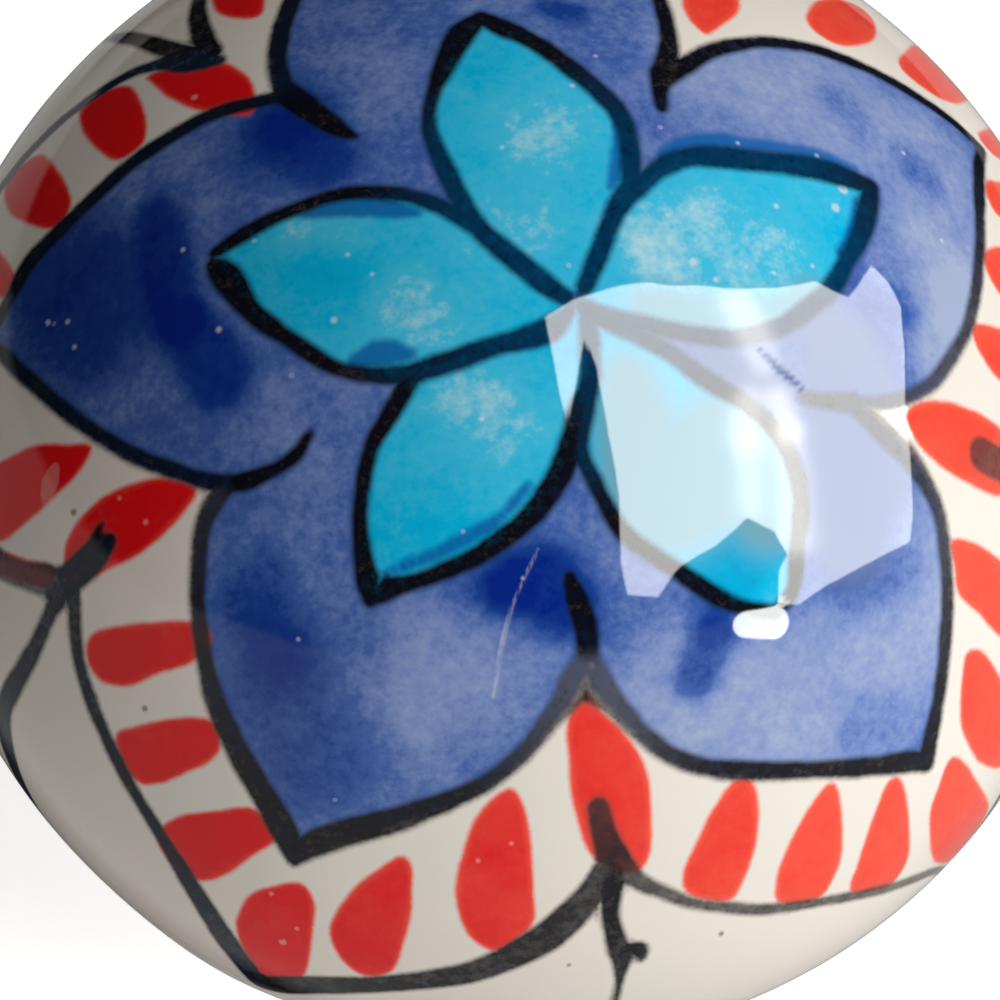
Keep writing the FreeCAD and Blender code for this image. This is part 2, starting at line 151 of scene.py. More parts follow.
# Hooks where two blue petals meet.
HOOKS = {
    "top": [(3.5, 9.0, 1.0), (3.3, 8.2, 0.6), (3.3, 7.5, 0.45)],
    "right": [(9.8, -2.65, 0.7), (8.9, -2.7, 0.55), (7.8, -2.7, 0.4)],
    "notch": [(0.6, -12.2, 0.5), (0.62, -13.0, 0.5)],
    "bottom": [(0.6, -11.9, 0.75), (0.5, -10.9, 0.82), (0.2, -10.0, 0.78), (-0.15, -9.2, 0.5)],
    "left": [(-11.8, -5.65, 0.7), (-11.0, -5.6, 0.7), (-10.0, -5.3, 0.5), (-9.3, -4.9, 0.45),
             (-8.8, -4.2, 0.3)],
    "hook_left": [(-9.5, 8.95, 1.0), (-8.8, 8.1, 0.95), (-8.1, 7.35, 0.8), (-7.6, 6.8, 0.6),
                  (-7.1, 6.5, 0.25)],
}

# The line round the whole flower, one stroke to each side of its five points.
RIM_STROKES = {
    "bottom_start": [(1.4, -17.0, 0.85), (1.7, -17.9, 0.95), (2.15, -18.9, 1.3)],
    "rim_bottom_right": [(2.2, -18.9, 1.1), (3.3, -19.8, 0.65), (4.5, -20.3, 0.5), (5.7, -20.7, 0.45),
                         (7.4, -20.9, 0.45), (9.1, -21.0, 0.45), (12.0, -20.7, 0.45),
                         (14.9, -20.4, 0.5), (18.9, -19.9, 0.5), (21.2, -20.4, 0.4)],
    "rim_bottom_left": [(2.2, -18.9, 1.1), (1.9, -19.6, 1.1), (1.4, -20.5, 1.15), (0.75, -21.4, 1.3),
                        (-0.1, -22.35, 1.4), (-1.4, -23.3, 1.25), (-2.6, -24.0, 1.15),
                        (-4.0, -24.5, 1.1), (-6.6, -25.2, 1.0), (-8.3, -25.6, 1.15),
                        (-10.4, -26.1, 1.35), (-11.9, -26.6, 1.5), (-12.8, -26.8, 1.4)],
    "rim_left_side": [(-12.8, -26.8, 1.4), (-13.35, -25.1, 1.25), (-13.9, -23.5, 1.2),
                      (-14.5, -21.7, 1.0), (-15.35, -19.5, 0.75), (-16.1, -17.7, 0.62),
                      (-17.1, -15.4, 0.58), (-18.1, -12.3, 0.56), (-18.3, -10.6, 0.55),
                      (-18.2, -9.0, 0.65), (-18.6, -8.3, 1.1)],
    "left_blob": [(-19.0, -8.5, 1.2), (-17.8, -7.95, 1.3), (-16.9, -7.35, 1.1), (-16.4, -7.05, 0.6)],
    "left_spur": [(-17.2, -7.2, 0.5), (-16.7, -6.4, 0.25)],
    "rim_left": [(-18.6, -8.1, 0.7), (-19.3, -7.75, 0.45), (-20.1, -7.5, 0.38), (-21.1, -7.2, 0.36),
                 (-24.0, -4.5, 0.4), (-26.6, -0.6, 0.5), (-28.8, 3.4, 0.6)],
    "left_stain": [(-18.9, -8.3, 1.1), (-19.8, -8.0, 1.15), (-20.6, -7.7, 1.1), (-21.6, -7.3, 1.0)],
    "rim_left_top": [(-28.8, 3.4, 0.7), (-26.0, 6.8, 0.85), (-23.8, 8.9, 0.8), (-21.7, 10.2, 0.7),
                     (-20.6, 10.9, 0.6), (-18.3, 11.9, 0.55), (-16.0, 12.5, 0.55), (-14.9, 12.45, 0.6),
                     (-14.0, 12.3, 1.0), (-13.1, 11.9, 1.3), (-12.0, 11.4, 0.5)],
    "rim_top_left": [(-12.3, 12.0, 0.8), (-12.7, 13.0, 0.9), (-13.0, 14.4, 0.8), (-13.1, 15.6, 0.7),
                     (-13.0, 18.5, 0.6), (-11.8, 22.0, 0.6), (-10.0, 25.2, 0.6), (-7.3, 28.6, 0.5)],
    "rim_top_right": [(-7.3, 28.6, 0.5), (-3.6, 26.9, 0.6), (0.2, 25.0, 0.6), (3.8, 22.6, 0.6),
                      (6.2, 19.8, 0.6), (7.3, 16.4, 1.0)],
    "rim_upper_right": [(7.3, 16.6, 1.0), (9.5, 18.6, 0.6), (12.5, 19.4, 0.5), (16.0, 18.9, 0.5),
                        (20.4, 17.2, 0.5), (25.5, 14.8, 0.5)],
    "rim_right": [(25.5, 14.8, 0.5), (23.4, 11.0, 0.6), (21.3, 6.6, 0.6), (19.5, 2.4, 0.6),
                  (18.2, -1.0, 0.7), (16.9, -3.5, 1.1)],
    "right_start": [(15.6, -3.4, 1.3), (16.9, -3.6, 1.2)],
    "rim_lower_right": [(16.9, -3.6, 1.1), (18.9, -6.6, 0.6), (20.8, -10.4, 0.5), (22.0, -14.4, 0.5),
                        (21.9, -17.8, 0.5), (21.2, -20.4, 0.4)],
}

# Stems that run from the notches of that line down over the side of the knob.
STEMS = {
    "stem_bottom": [(2.25, -19.3, 1.3), (2.3, -20.5, 0.8), (2.45, -21.4, 0.72), (2.9, -22.5, 0.85),
                    (3.25, -23.3, 0.8), (3.4, -24.4, 0.35), (3.5, -25.7, 0.36), (3.7, -28.5, 0.5),
                    (3.6, -32.0, 0.5)],
    "bottom_knot": [(2.9, -22.9, 0.6), (3.9, -22.75, 0.66), (4.0, -23.2, 0.5)],
    "stem_left": [(-18.9, -8.9, 0.85), (-19.4, -9.4, 0.65), (-20.3, -10.5, 0.75), (-21.4, -11.5, 0.9),
                  (-22.6, -12.4, 1.0), (-23.5, -13.2, 1.1), (-24.1, -14.4, 1.2),
                  (-24.6, -16.2, 1.2), (-24.8, -18.4, 1.2), (-24.4, -21.0, 1.0), (-23.2, -23.7, 0.8),
                  (-21.5, -26.5, 0.7)],
    "stem_top_left": [(-13.4, 12.4, 0.9), (-14.3, 13.3, 0.85), (-15.1, 14.2, 0.75), (-15.8, 15.0, 0.7),
                      (-17.3, 16.8, 0.5), (-19.6, 19.6, 0.5), (-22.2, 23.0, 0.5)],
    "stem_top_right": [(7.6, 16.8, 0.9), (9.0, 20.2, 0.7), (10.6, 24.0, 0.5), (12.8, 29.0, 0.5)],
    "stem_right": [(17.2, -3.7, 1.0), (20.6, -4.6, 0.7), (25.0, -5.4, 0.5), (31.4, -6.4, 0.5)],
}

# The red dashes between the blue petals and the line round them, each the outline (x, y) of one dab.
DASHES = [
    [(-14.9, 12.0), (-12.9, 11.7), (-11.75, 11.2), (-10.8, 10.0), (-10.55, 8.85), (-10.75, 8.2),
     (-11.5, 8.45), (-12.85, 9.15), (-13.95, 10.2), (-14.7, 11.3)],
    [(-17.9, 12.0), (-16.0, 12.0), (-15.2, 10.8), (-14.8, 9.2), (-14.9, 8.3), (-15.8, 7.85), (-16.6, 8.45),
     (-17.5, 9.85), (-17.95, 11.1)],
    [(-21.5, 10.2), (-19.9, 10.3), (-18.8, 8.9), (-18.0, 7.2), (-18.0, 6.3), (-18.8, 5.85), (-20.1, 6.7),
     (-21.1, 7.8), (-21.7, 9.2)],
    [(-24.2, 7.8), (-22.7, 7.7), (-21.3, 5.8), (-20.5, 4.3), (-21.0, 3.6), (-22.5, 4.6), (-23.6, 6.0)],
    [(-26.6, 4.6), (-25.2, 4.9), (-23.2, 3.3), (-22.9, 2.4), (-24.4, 2.1), (-26.2, 2.9)],
    [(-26.2, -0.4), (-24.2, 0.1), (-22.6, 0.1), (-22.4, -0.8), (-23.9, -1.9), (-25.6, -2.2)],
    [(-23.9, -4.2), (-22.3, -3.4), (-21.0, -3.1), (-19.4, -2.95), (-18.1, -3.2), (-16.95, -3.5),
     (-17.6, -4.4), (-18.7, -5.1), (-19.9, -5.7), (-21.4, -6.25), (-22.9, -6.0)],
    [(-19.0, -7.7), (-20.2, -7.2), (-21.6, -6.7), (-22.0, -7.4), (-20.7, -8.0), (-19.3, -8.4)],
    [(-12.85, -5.7), (-13.95, -5.15), (-15.4, -5.15), (-16.8, -5.55), (-17.9, -6.3), (-18.5, -7.3),
     (-18.2, -8.6), (-16.9, -8.2), (-15.2, -7.7), (-13.8, -6.8)],
    [(-17.9, -10.9), (-17.4, -10.3), (-15.6, -10.15), (-13.7, -10.2), (-12.9, -10.4), (-12.6, -11.0),
     (-13.5, -11.75), (-15.0, -12.1), (-16.2, -12.45), (-17.3, -12.2), (-17.8, -11.6)],
    [(-17.0, -14.2), (-16.1, -13.95), (-14.5, -13.7), (-13.0, -13.75), (-12.5, -14.2), (-12.6, -15.0),
     (-13.2, -15.5), (-14.5, -16.0), (-15.5, -16.3), (-16.3, -16.2), (-16.9, -15.4)],
    [(-15.8, -18.3), (-14.5, -17.55), (-12.9, -17.35), (-11.4, -17.25), (-10.6, -18.4), (-11.8, -19.3),
     (-13.0, -20.2), (-14.2, -20.65), (-15.2, -20.3), (-15.95, -19.1)],
    [(-13.1, -23.2), (-12.8, -22.1), (-12.0, -21.0), (-11.0, -20.55), (-9.75, -20.3), (-9.3, -21.1),
     (-9.45, -22.4), (-9.85, -24.4), (-10.5, -25.7), (-11.6, -26.1), (-12.7, -25.6)],
    [(-8.8, -22.6), (-8.4, -21.5), (-7.65, -20.4), (-6.6, -19.5), (-5.75, -18.95), (-5.35, -19.5),
     (-5.35, -21.1), (-5.6, -22.6), (-6.0, -24.0), (-6.5, -24.6), (-7.5, -24.8), (-8.4, -23.9)],
    [(-1.9, -16.3), (-1.3, -17.0), (-0.9, -18.8), (-0.7, -20.1), (-0.55, -21.5), (-1.1, -22.3),
     (-1.9, -23.0), (-3.0, -22.4), (-3.55, -21.3), (-3.7, -20.0), (-3.5, -18.8), (-3.0, -17.3)],
    [(0.6, -12.95), (1.15, -13.45), (2.3, -14.5), (3.1, -15.8), (3.45, -17.4), (3.55, -18.9), (2.9, -19.5),
     (1.4, -18.9), (0.8, -17.85), (0.4, -16.7), (0.1, -15.0), (0.05, -13.85)],
    [(6.45, -15.8), (7.1, -15.8), (7.55, -16.7), (7.8, -18.2), (7.65, -19.6), (7.2, -20.6), (5.5, -20.4),
     (5.0, -19.5), (5.4, -17.95), (5.8, -16.8)],
    [(10.5, -15.75), (11.2, -16.7), (11.8, -18.5), (11.85, -19.6), (11.4, -20.6), (9.5, -20.7),
     (9.05, -19.6), (9.2, -18.3), (9.7, -16.8)],
    [(13.6, -15.4), (14.3, -16.15), (15.1, -17.6), (15.8, -18.9), (15.6, -20.1), (14.4, -20.4),
     (13.0, -20.3), (12.8, -18.9), (12.85, -17.2), (13.05, -15.8)],
    [(16.15, -14.6), (16.85, -14.55), (17.9, -15.1), (19.4, -15.9), (21.1, -16.7), (21.6, -17.9),
     (20.7, -19.5), (19.2, -19.5), (17.9, -19.1), (16.85, -18.2), (16.0, -16.9), (15.95, -15.7)],
    [(15.8, -10.6), (16.65, -10.4), (17.9, -11.1), (19.3, -12.3), (20.6, -13.6), (20.2, -14.8),
     (18.4, -14.7), (17.2, -14.1), (16.3, -13.2), (15.9, -12.0)],
    [(14.3, -6.7), (15.5, -6.6), (16.8, -6.9), (18.3, -7.6), (19.0, -8.9), (17.9, -9.8), (16.1, -9.1),
     (14.9, -8.5), (14.6, -7.7)],
    [(11.9, -2.6), (13.0, -1.95), (15.0, -1.85), (16.9, -2.4), (17.4, -3.6), (16.6, -4.7), (14.6, -4.5),
     (13.1, -4.0), (12.3, -3.4)],
    [(15.2, 1.4), (16.6, 1.7), (18.2, 1.6), (18.9, 0.6), (17.9, -0.2), (16.5, -0.4), (15.4, 0.5)],
    [(16.1, 4.4), (17.1, 5.3), (18.6, 5.4), (19.6, 4.4), (18.4, 3.3), (16.9, 3.1)],
    [(17.1, 8.2), (18.1, 8.9), (19.7, 9.1), (20.6, 8.2), (19.2, 7.0), (17.4, 6.95)],
    [(17.8, 11.2), (19.1, 12.6), (20.8, 14.1), (22.0, 13.6), (21.0, 12.0), (18.9, 10.6)],
    [(14.0, 13.1), (14.9, 14.6), (16.5, 16.5), (17.9, 16.7), (18.9, 14.9), (17.5, 13.0), (16.0, 12.2),
     (14.6, 12.4)],
    [(9.8, 13.65), (10.1, 14.4), (10.9, 15.5), (12.3, 16.6), (13.5, 16.8), (13.8, 15.9), (13.3, 14.5),
     (12.3, 13.3), (10.9, 12.6), (10.0, 13.0)],
    [(4.7, 12.3), (5.0, 14.6), (5.9, 16.0), (7.0, 16.0), (7.1, 14.0), (6.8, 12.8), (5.95, 11.8),
     (5.3, 11.25)],
    [(4.4, 16.6), (5.6, 18.2), (5.8, 20.2), (4.6, 20.4), (3.7, 18.6)],
    [(1.3, 19.4), (2.6, 20.8), (2.9, 23.0), (1.7, 23.3), (0.7, 21.4)],
    [(-2.0, 21.3), (-0.8, 23.1), (-1.0, 25.6), (-2.5, 25.8), (-3.1, 23.5)],
    [(-5.8, 22.4), (-5.1, 24.8), (-6.0, 27.3), (-7.4, 27.0), (-7.4, 24.6)],
    [(-8.6, 20.2), (-8.5, 22.6), (-10.0, 24.1), (-11.2, 23.2), (-10.3, 21.4)],
    [(-9.9, 17.2), (-10.0, 19.2), (-11.4, 20.3), (-12.5, 19.2), (-11.6, 17.8)],
    [(-10.4, 13.5), (-10.5, 15.5), (-11.5, 16.7), (-12.5, 16.2), (-12.3, 14.6), (-11.3, 13.6)],
]

# Deeper blue where a brush went over an edge twice.
SMEARS = [
    [(-8.9, 3.6, 0.3), (-7.6, 3.7, 0.85), (-6.4, 3.55, 0.85), (-5.1, 3.2, 0.4)],
    [(1.75, 7.0, 0.3), (1.72, 6.0, 0.5), (1.62, 5.0, 0.5), (1.3, 4.1, 0.3)],
    [(-7.2, -1.85, 0.5), (-6.3, -1.65, 0.9), (-5.4, -1.75, 0.5)],
    [(-6.3, -9.0, 0.3), (-4.4, -8.3, 0.5), (-2.6, -7.3, 0.4), (-1.6, -6.2, 0.3)],
    [(3.0, 5.4, 0.3), (3.8, 6.0, 0.55), (5.0, 6.3, 0.65), (7.0, 6.4, 0.6), (9.0, 6.45, 0.5),
     (10.4, 6.3, 0.3)],
    [(10.3, 5.0, 0.4), (9.98, 3.7, 0.45), (9.4, 2.7, 0.35)],
]

# Patches where the colour lies thin (above nought) or has pooled: (strength, softness, stroke).
WASHES = [
    (0.38, 1.3, [(-1.0, 6.0, 0.8), (-0.4, 6.7, 0.6)]),
    (0.35, 1.1, [(-2.3, 3.2, 0.5), (-1.2, 2.4, 0.4)]),
    (0.68, 1.4, [(2.9, 2.0, 0.7), (3.8, 2.9, 0.6)]),
    (0.35, 1.1, [(7.2, 2.2, 0.8), (6.0, 1.2, 0.6)]),
    (0.5, 1.0, [(-5.7, 0.0, 0.8), (-4.9, -0.7, 0.6)]),
    (-0.25, 1.4, [(-9.0, 0.9, 0.8), (-7.6, 0.9, 0.6)]),
    (0.4, 0.8, [(-8.8, 3.0, 0.4), (-7.2, 2.7, 0.4)]),
    (0.5, 1.2, [(-2.5, -4.1, 0.8), (-3.4, -3.5, 0.6)]),
    (-0.25, 1.4, [(-5.4, -8.0, 0.8), (-4.8, -6.7, 0.6)]),
    (-0.6, 1.0, [(5.6, -8.6, 0.8)]),
    (-0.85, 0.6, [(-14.3, 4.8, 0.4), (-14.0, 3.5, 1.0), (-13.7, 1.8, 1.0), (-13.4, 0.6, 1.0)]),
    (-0.85, 0.6, [(-13.0, 0.0, 0.9), (-12.3, -1.2, 1.4), (-12.0, -1.9, 1.3)]),
    (-0.8, 1.9, [(-18.0, 3.4, 2.2), (-17.0, 1.4, 2.4)]),
    (-0.45, 1.2, [(-10.4, 6.6, 0.8), (-9.2, 7.5, 1.0)]),
    (-0.75, 0.9, [(-9.4, 7.3, 0.8), (-8.3, 5.7, 1.1)]),
    (-1.1, 0.7, [(-2.3, -9.5, 0.5), (-1.1, -9.4, 1.4), (-0.4, -9.9, 1.1)]),
    (-0.2, 1.3, [(-3.4, -8.9, 0.6)]),
    (-0.5, 1.1, [(-10.8, -9.6, 1.2), (-10.2, -11.4, 1.0)]),
    (0.3, 1.8, [(-5.2, -13.2, 1.0), (-3.6, -12.6, 1.0)]),
    (0.25, 1.2, [(-5.6, -10.4, 0.8)]),
    (0.6, 2.4, [(6.5, 9.2, 2.0), (10.6, 9.2, 1.5)]),
    (0.5, 1.8, [(14.6, 8.6, 1.0), (14.4, 5.4, 1.4), (14.0, 2.6, 1.2)]),
    (0.25, 1.6, [(12.6, 3.6, 0.8), (12.2, 2.6, 0.8)]),
    (0.7, 1.4, [(14.4, 2.0, 0.5), (13.4, 0.0, 0.5)]),
    (-0.4, 2.0, [(-9.9, -13.0, 1.4), (-8.8, -15.0, 1.4)]),
    (-0.5, 0.9, [(11.2, 0.9, 0.6), (10.8, -1.2, 0.8)]),
    (0.95, 3.0, [(4.0, -13.4, 1.0), (8.6, -13.2, 2.0), (12.6, -10.4, 1.6), (13.2, -8.0, 0.8)]),
    (-0.35, 0.8, [(11.4, -13.6, 0.8), (12.4, -13.2, 0.6)]),
    (-0.4, 0.8, [(10.2, -8.9, 0.6), (12.2, -8.0, 0.6)]),
    (-0.95, 0.6, [(5.0, -10.9, 0.7), (4.5, -12.3, 0.5)]),
    (-0.5, 0.4, [(-0.2, 12.0, 0.4), (0.6, 11.7, 0.4)]),
    (-0.4, 0.7, [(9.9, 9.2, 0.4), (10.9, 8.7, 0.3)]),
    (-0.55, 0.7, [(13.2, 7.4, 0.5), (13.9, 7.0, 0.3)]),
    (-0.4, 0.9, [(12.3, 2.6, 0.4), (12.6, 1.5, 0.4)]),
]

# Patches where the photo shows the colours greyer because the softbox is mirrored there, in
# (strength, softness, stroke). Paint stands in for light here, and it stays put in every view.
PAINTED_REFLECTION_PATCHES = [
    (1.0, 0.8, [(1.7, -2.8, 0.8), (2.3, -5.0, 1.8), (2.8, -7.0, 1.6), (4.6, -5.4, 3.2), (6.2, -4.6, 2.4),
                (6.6, -6.6, 1.6)]),
    (0.9, 0.5, [(2.4, -0.1, 0.5), (6.4, -0.2, 0.8), (8.2, 0.8, 0.6)]),
    (1.0, 0.9, [(9.4, -1.0, 1.8), (10.2, -4.0, 3.0), (9.8, -7.0, 2.0)]),
    (0.8, 0.6, [(4.5, -1.8, 0.6), (6.6, -2.2, 0.8)]),
]

# Bare pinholes where the white shows through the colour: (x, y, width).
PINHOLES = [
    (4.0, 1.55, 0.26), (4.75, 1.0, 0.2), (9.4, 4.45, 0.34), (9.8, 5.3, 0.38), (7.1, 4.05, 0.2),
    (5.85, 1.6, 0.16), (6.85, 1.5, 0.14), (8.3, 2.0, 0.14), (3.2, 3.2, 0.14), (-18.8, 1.75, 0.26),
    (-17.9, 1.5, 0.2), (-17.6, 0.4, 0.18), (-11.9, -0.2, 0.2), (-13.2, 3.1, 0.14), (-10.6, 2.9, 0.12),
    (-9.4, -11.1, 0.14), (-12.9, 9.8, 0.26), (-1.7, -9.2, 0.1), (0.7, -12.05, 0.26),
    (-10.95, -23.4, 0.34), (-10.2, -22.6, 0.18), (-11.1, -20.95, 0.2), (-2.9, -19.1, 0.18),
    (-1.7, -18.4, 0.14), (-15.9, -5.6, 0.12), (-14.9, -6.6, 0.16), (-6.6, 1.1, 0.14), (-7.9, -0.4, 0.2),
    (-7.4, 1.9, 0.12), (-3.1, -4.0, 0.14), (-2.2, 5.6, 0.12), (0.3, 8.2, 0.12), (1.2, 9.6, 0.12),
    (12.8, 7.8, 0.22), (8.9, 6.45, 0.14), (5.9, 6.35, 0.14), (14.0, 4.4, 0.14),
]
# A scratch in the glaze, and a painted highlight: a pale mark on a red dash.
SCRATCH_AND_HIGHLIGHT = [
    [(-1.2, -8.2, 0.05), (-2.0, -10.0, 0.09), (-2.4, -11.6, 0.15), (-2.6, -13.2, 0.1)],
    [(-18.6, -4.0, 0.4), (-18.9, -4.5, 0.8), (-19.1, -5.1, 0.5)],
]

# Brown specks in the white glaze, and one at the flower's middle: (x, y, width).
SPECKS = [
    (0.15, 0.45, 0.26), (-15.55, -13.3, 0.26), (-17.9, -5.8, 0.26), (7.3, -22.1, 0.2),
    (20.8, -5.6, 0.16), (1.1, -23.6, 0.16),
]


# Shapes on the flat map.


def smooth_path(points, closed=False):
    """Points (x, y, width) along a Catmull-Rom curve, a cubic between each two neighbours."""
    knots = np.array(points if len(points) > 1 else 2 * points, float)
    if closed:
        knots = np.vstack([knots[-1:], knots, knots[:2]])
    else:
        knots = np.vstack([2 * knots[0] - knots[1], knots, 2 * knots[-1] - knots[-2]])
    pieces = []
    for a, b, c, d in zip(knots, knots[1:], knots[2:], knots[3:]):
        count = max(2, int(np.hypot(*(c - b)[:2]) / SPLINE_STEP) + 1)
        t = np.linspace(0, 1, count, endpoint=False)[:, None]
        pieces.append(0.5 * (2 * b + (c - a) * t + (2 * a - 5 * b + 4 * c - d) * t**2
                             + (3 * b - a - 3 * c + d) * t**3))
    return np.vstack(pieces if closed else pieces + [knots[-2:-1]])


def nearest_on_path(x, y, path):
    """Distance to a path less its half width, at each point, and the share along it."""
    best = np.full(x.shape, FIELD_REACH)
    along = np.zeros(x.shape)
    for k, (a, b) in enumerate(zip(path, path[1:])):
        run = b[:2] - a[:2]
        length = max(run @ run, 1e-9)
        t = np.clip(((x - a[0]) * run[0] + (y - a[1]) * run[1]) / length, 0, 1)
        gap = np.hypot(x - a[0] - t * run[0], y - a[1] - t * run[1])
        gap -= (a[2] + t * (b[2] - a[2])) / 2
        nearer = gap < best
        best = np.where(nearer, gap, best)
        along = np.where(nearer, (k + t) / (len(path) - 1), along)
    return best, along


def stroke_field(x, y, strokes):
    """Distance to the nearest of several strokes, below nought inside one, in millimetres."""
    field = np.full(x.shape, FIELD_REACH)
    for stroke in strokes:
        path = smooth_path(stroke)
        low = path[:, :2].min(axis=0) - FIELD_REACH
        high = path[:, :2].max(axis=0) + FIELD_REACH
        near = (x > low[0]) & (x < high[0]) & (y > low[1]) & (y < high[1])
        field[near] = np.minimum(field[near], nearest_on_path(x[near], y[near], path)[0])
    return field


def region_field(x, y, outline):
    """Distance to a closed outline, above nought inside it, by counting crossings to the right."""
    field = np.full(x.shape, -FIELD_REACH)
    low, high = outline.min(axis=0) - FIELD_REACH, outline.max(axis=0) + FIELD_REACH
    near = (x > low[0]) & (x < high[0]) & (y > low[1]) & (y < high[1])
    px, py = x[near], y[near]
    inside = np.zeros(px.shape, bool)
    for a, b in zip(outline, np.roll(outline, -1, axis=0)):
        if a[1] != b[1]:
            crossing = a[0] + (py - a[1]) / (b[1] - a[1]) * (b[0] - a[0])
            inside ^= ((a[1] > py) != (b[1] > py)) & (px < crossing)
    closed = np.column_stack([np.vstack([outline, outline[:1]]), np.zeros(len(outline) + 1)])
    gap = nearest_on_path(px, py, closed)[0]
    field[near] = np.where(inside, gap, -gap)
    return field


def outlines_field(x, y, outlines):
    """How far inside the nearest of several closed shapes a point lies, each smoothed through its points."""
    field = np.full(x.shape, -FIELD_REACH)
    for outline in outlines:
        field = np.maximum(field, region_field(x, y, smooth_path(outline, closed=True)))
    return field


def dot_fields(x, y, dots):
    """Across and up from the middle of the nearest dot, and its half width, which is under nought far off.

    Kept as three linear values, so that a dot smaller than the mesh's steps stays round.
    """
    across, up = np.zeros(x.shape), np.zeros(x.shape)
    half = np.full(x.shape, -FIELD_REACH)
    for dot_x, dot_y, width in dots:
        near = np.hypot(x - dot_x, y - dot_y) < 0.4
        across[near], up[near], half[near] = x[near] - dot_x, y[near] - dot_y, width / 2
    return np.column_stack([across, up, half])


def heart_fields(x, y):
    """How far inside the turquoise petals a point lies, and how far inside what ran past them."""
    fields, spreads = [], []
    for first, second, spread, _ in HEART_PETALS.values():
        outline = np.vstack([smooth_path(first), smooth_path(second)[::-1]])[:, :2]
        fields.append(region_field(x, y, outline))
        spreads.append(fields[-1] + spread)
    return np.max(fields, axis=0), np.max(spreads, axis=0)


def blue_field(x, y):
    """How far inside the blue petals a point lies: their strokes joined into one outline."""
    outline = np.vstack([smooth_path(stroke)[:-1] for stroke in BLUE_PETALS.values()])[:, :2]
    return region_field(x, y, outline)


def bell_field(x, y, patches):
    """Sum of soft patches (strength, softness, stroke), each a bell round its stroke."""
    total = np.zeros(x.shape)
    for strength, softness, stroke in patches:
        gap = nearest_on_path(x, y, smooth_path(stroke))[0]
        total += strength * np.exp(-((np.maximum(gap, 0) / softness) ** 2))
    return total


# Strokes that were drawn thin, as the density of their ink at the first and last point.
THIN_STROKES = {
    "lower_right_foot": (1.25, 0.78), "lower_left_foot": (0.78, 1.2), "lower_left_side": (1.0, 0.9),
    "lower_right_side": (0.8, 1.0), "upper_right_side": (1.0, 0.8), "right_start": (0.75, 0.8),
    "bottom_start": (0.9, 0.95), "rim_bottom_right": (0.9, 0.8), "rim_bottom_left": (0.93, 1.0),
    "left_stain": (0.86, 0.82), "right": (0.8, 0.8),
}
# Strokes with blue in their black, as a share.
TINTED_STROKES = {
    "left_top": 0.15, "left_foot": 0.2, "top_left": 0.15, "rim_left_top": 0.4, "left_stain": 0.2,
    "left_blob": 0.25, "rim_left_side": 0.15, "stem_left": 0.2,
}
# Distance over which the ink of one stroke passes into the next, and over which the outlines of
# the small petals turn blue towards the flower's middle.
STROKE_BLEND = 0.07
HEART_TINT_WIDTH = 3.0


def ink_fields(x, y):
    """How far inside the nearest outline a point lies, how dense it is there, and how much blue it holds.

    Density and blue are means over all strokes, weighed by the exponential of
    minus the distance over the width in which one stroke passes into the next.
    """
    gap = np.full(x.shape, FIELD_REACH)
    total, density, tint = np.full(x.shape, 1e-12), np.full(x.shape, 1e-12), np.zeros(x.shape)
    from_middle = np.hypot(x, y)

    def lay(near, stroke_density, stroke_tint):
        weight = np.exp(-near / STROKE_BLEND)
        np.minimum(gap, near, out=gap)
        total[:] += weight
        density[:] += weight * stroke_density
        tint[:] += weight * stroke_tint

    for first, second, _, reach in HEART_PETALS.values():
        tinted = np.clip((reach - from_middle) / HEART_TINT_WIDTH, 0, 1)
        lay(stroke_field(x, y, [first, second]), 1.0, tinted)
    for group in (BLUE_PETALS, HOOKS, RIM_STROKES, STEMS):
        for name, stroke in group.items():
            near, along = nearest_on_path(x, y, smooth_path(stroke))
            start, end = THIN_STROKES.get(name, (1.0, 1.0))
            lay(near, np.minimum(start + along * (end - start), 1), TINTED_STROKES.get(name, 0.0))
    return -gap, density / total, tint / total


# Properties that a user would change.


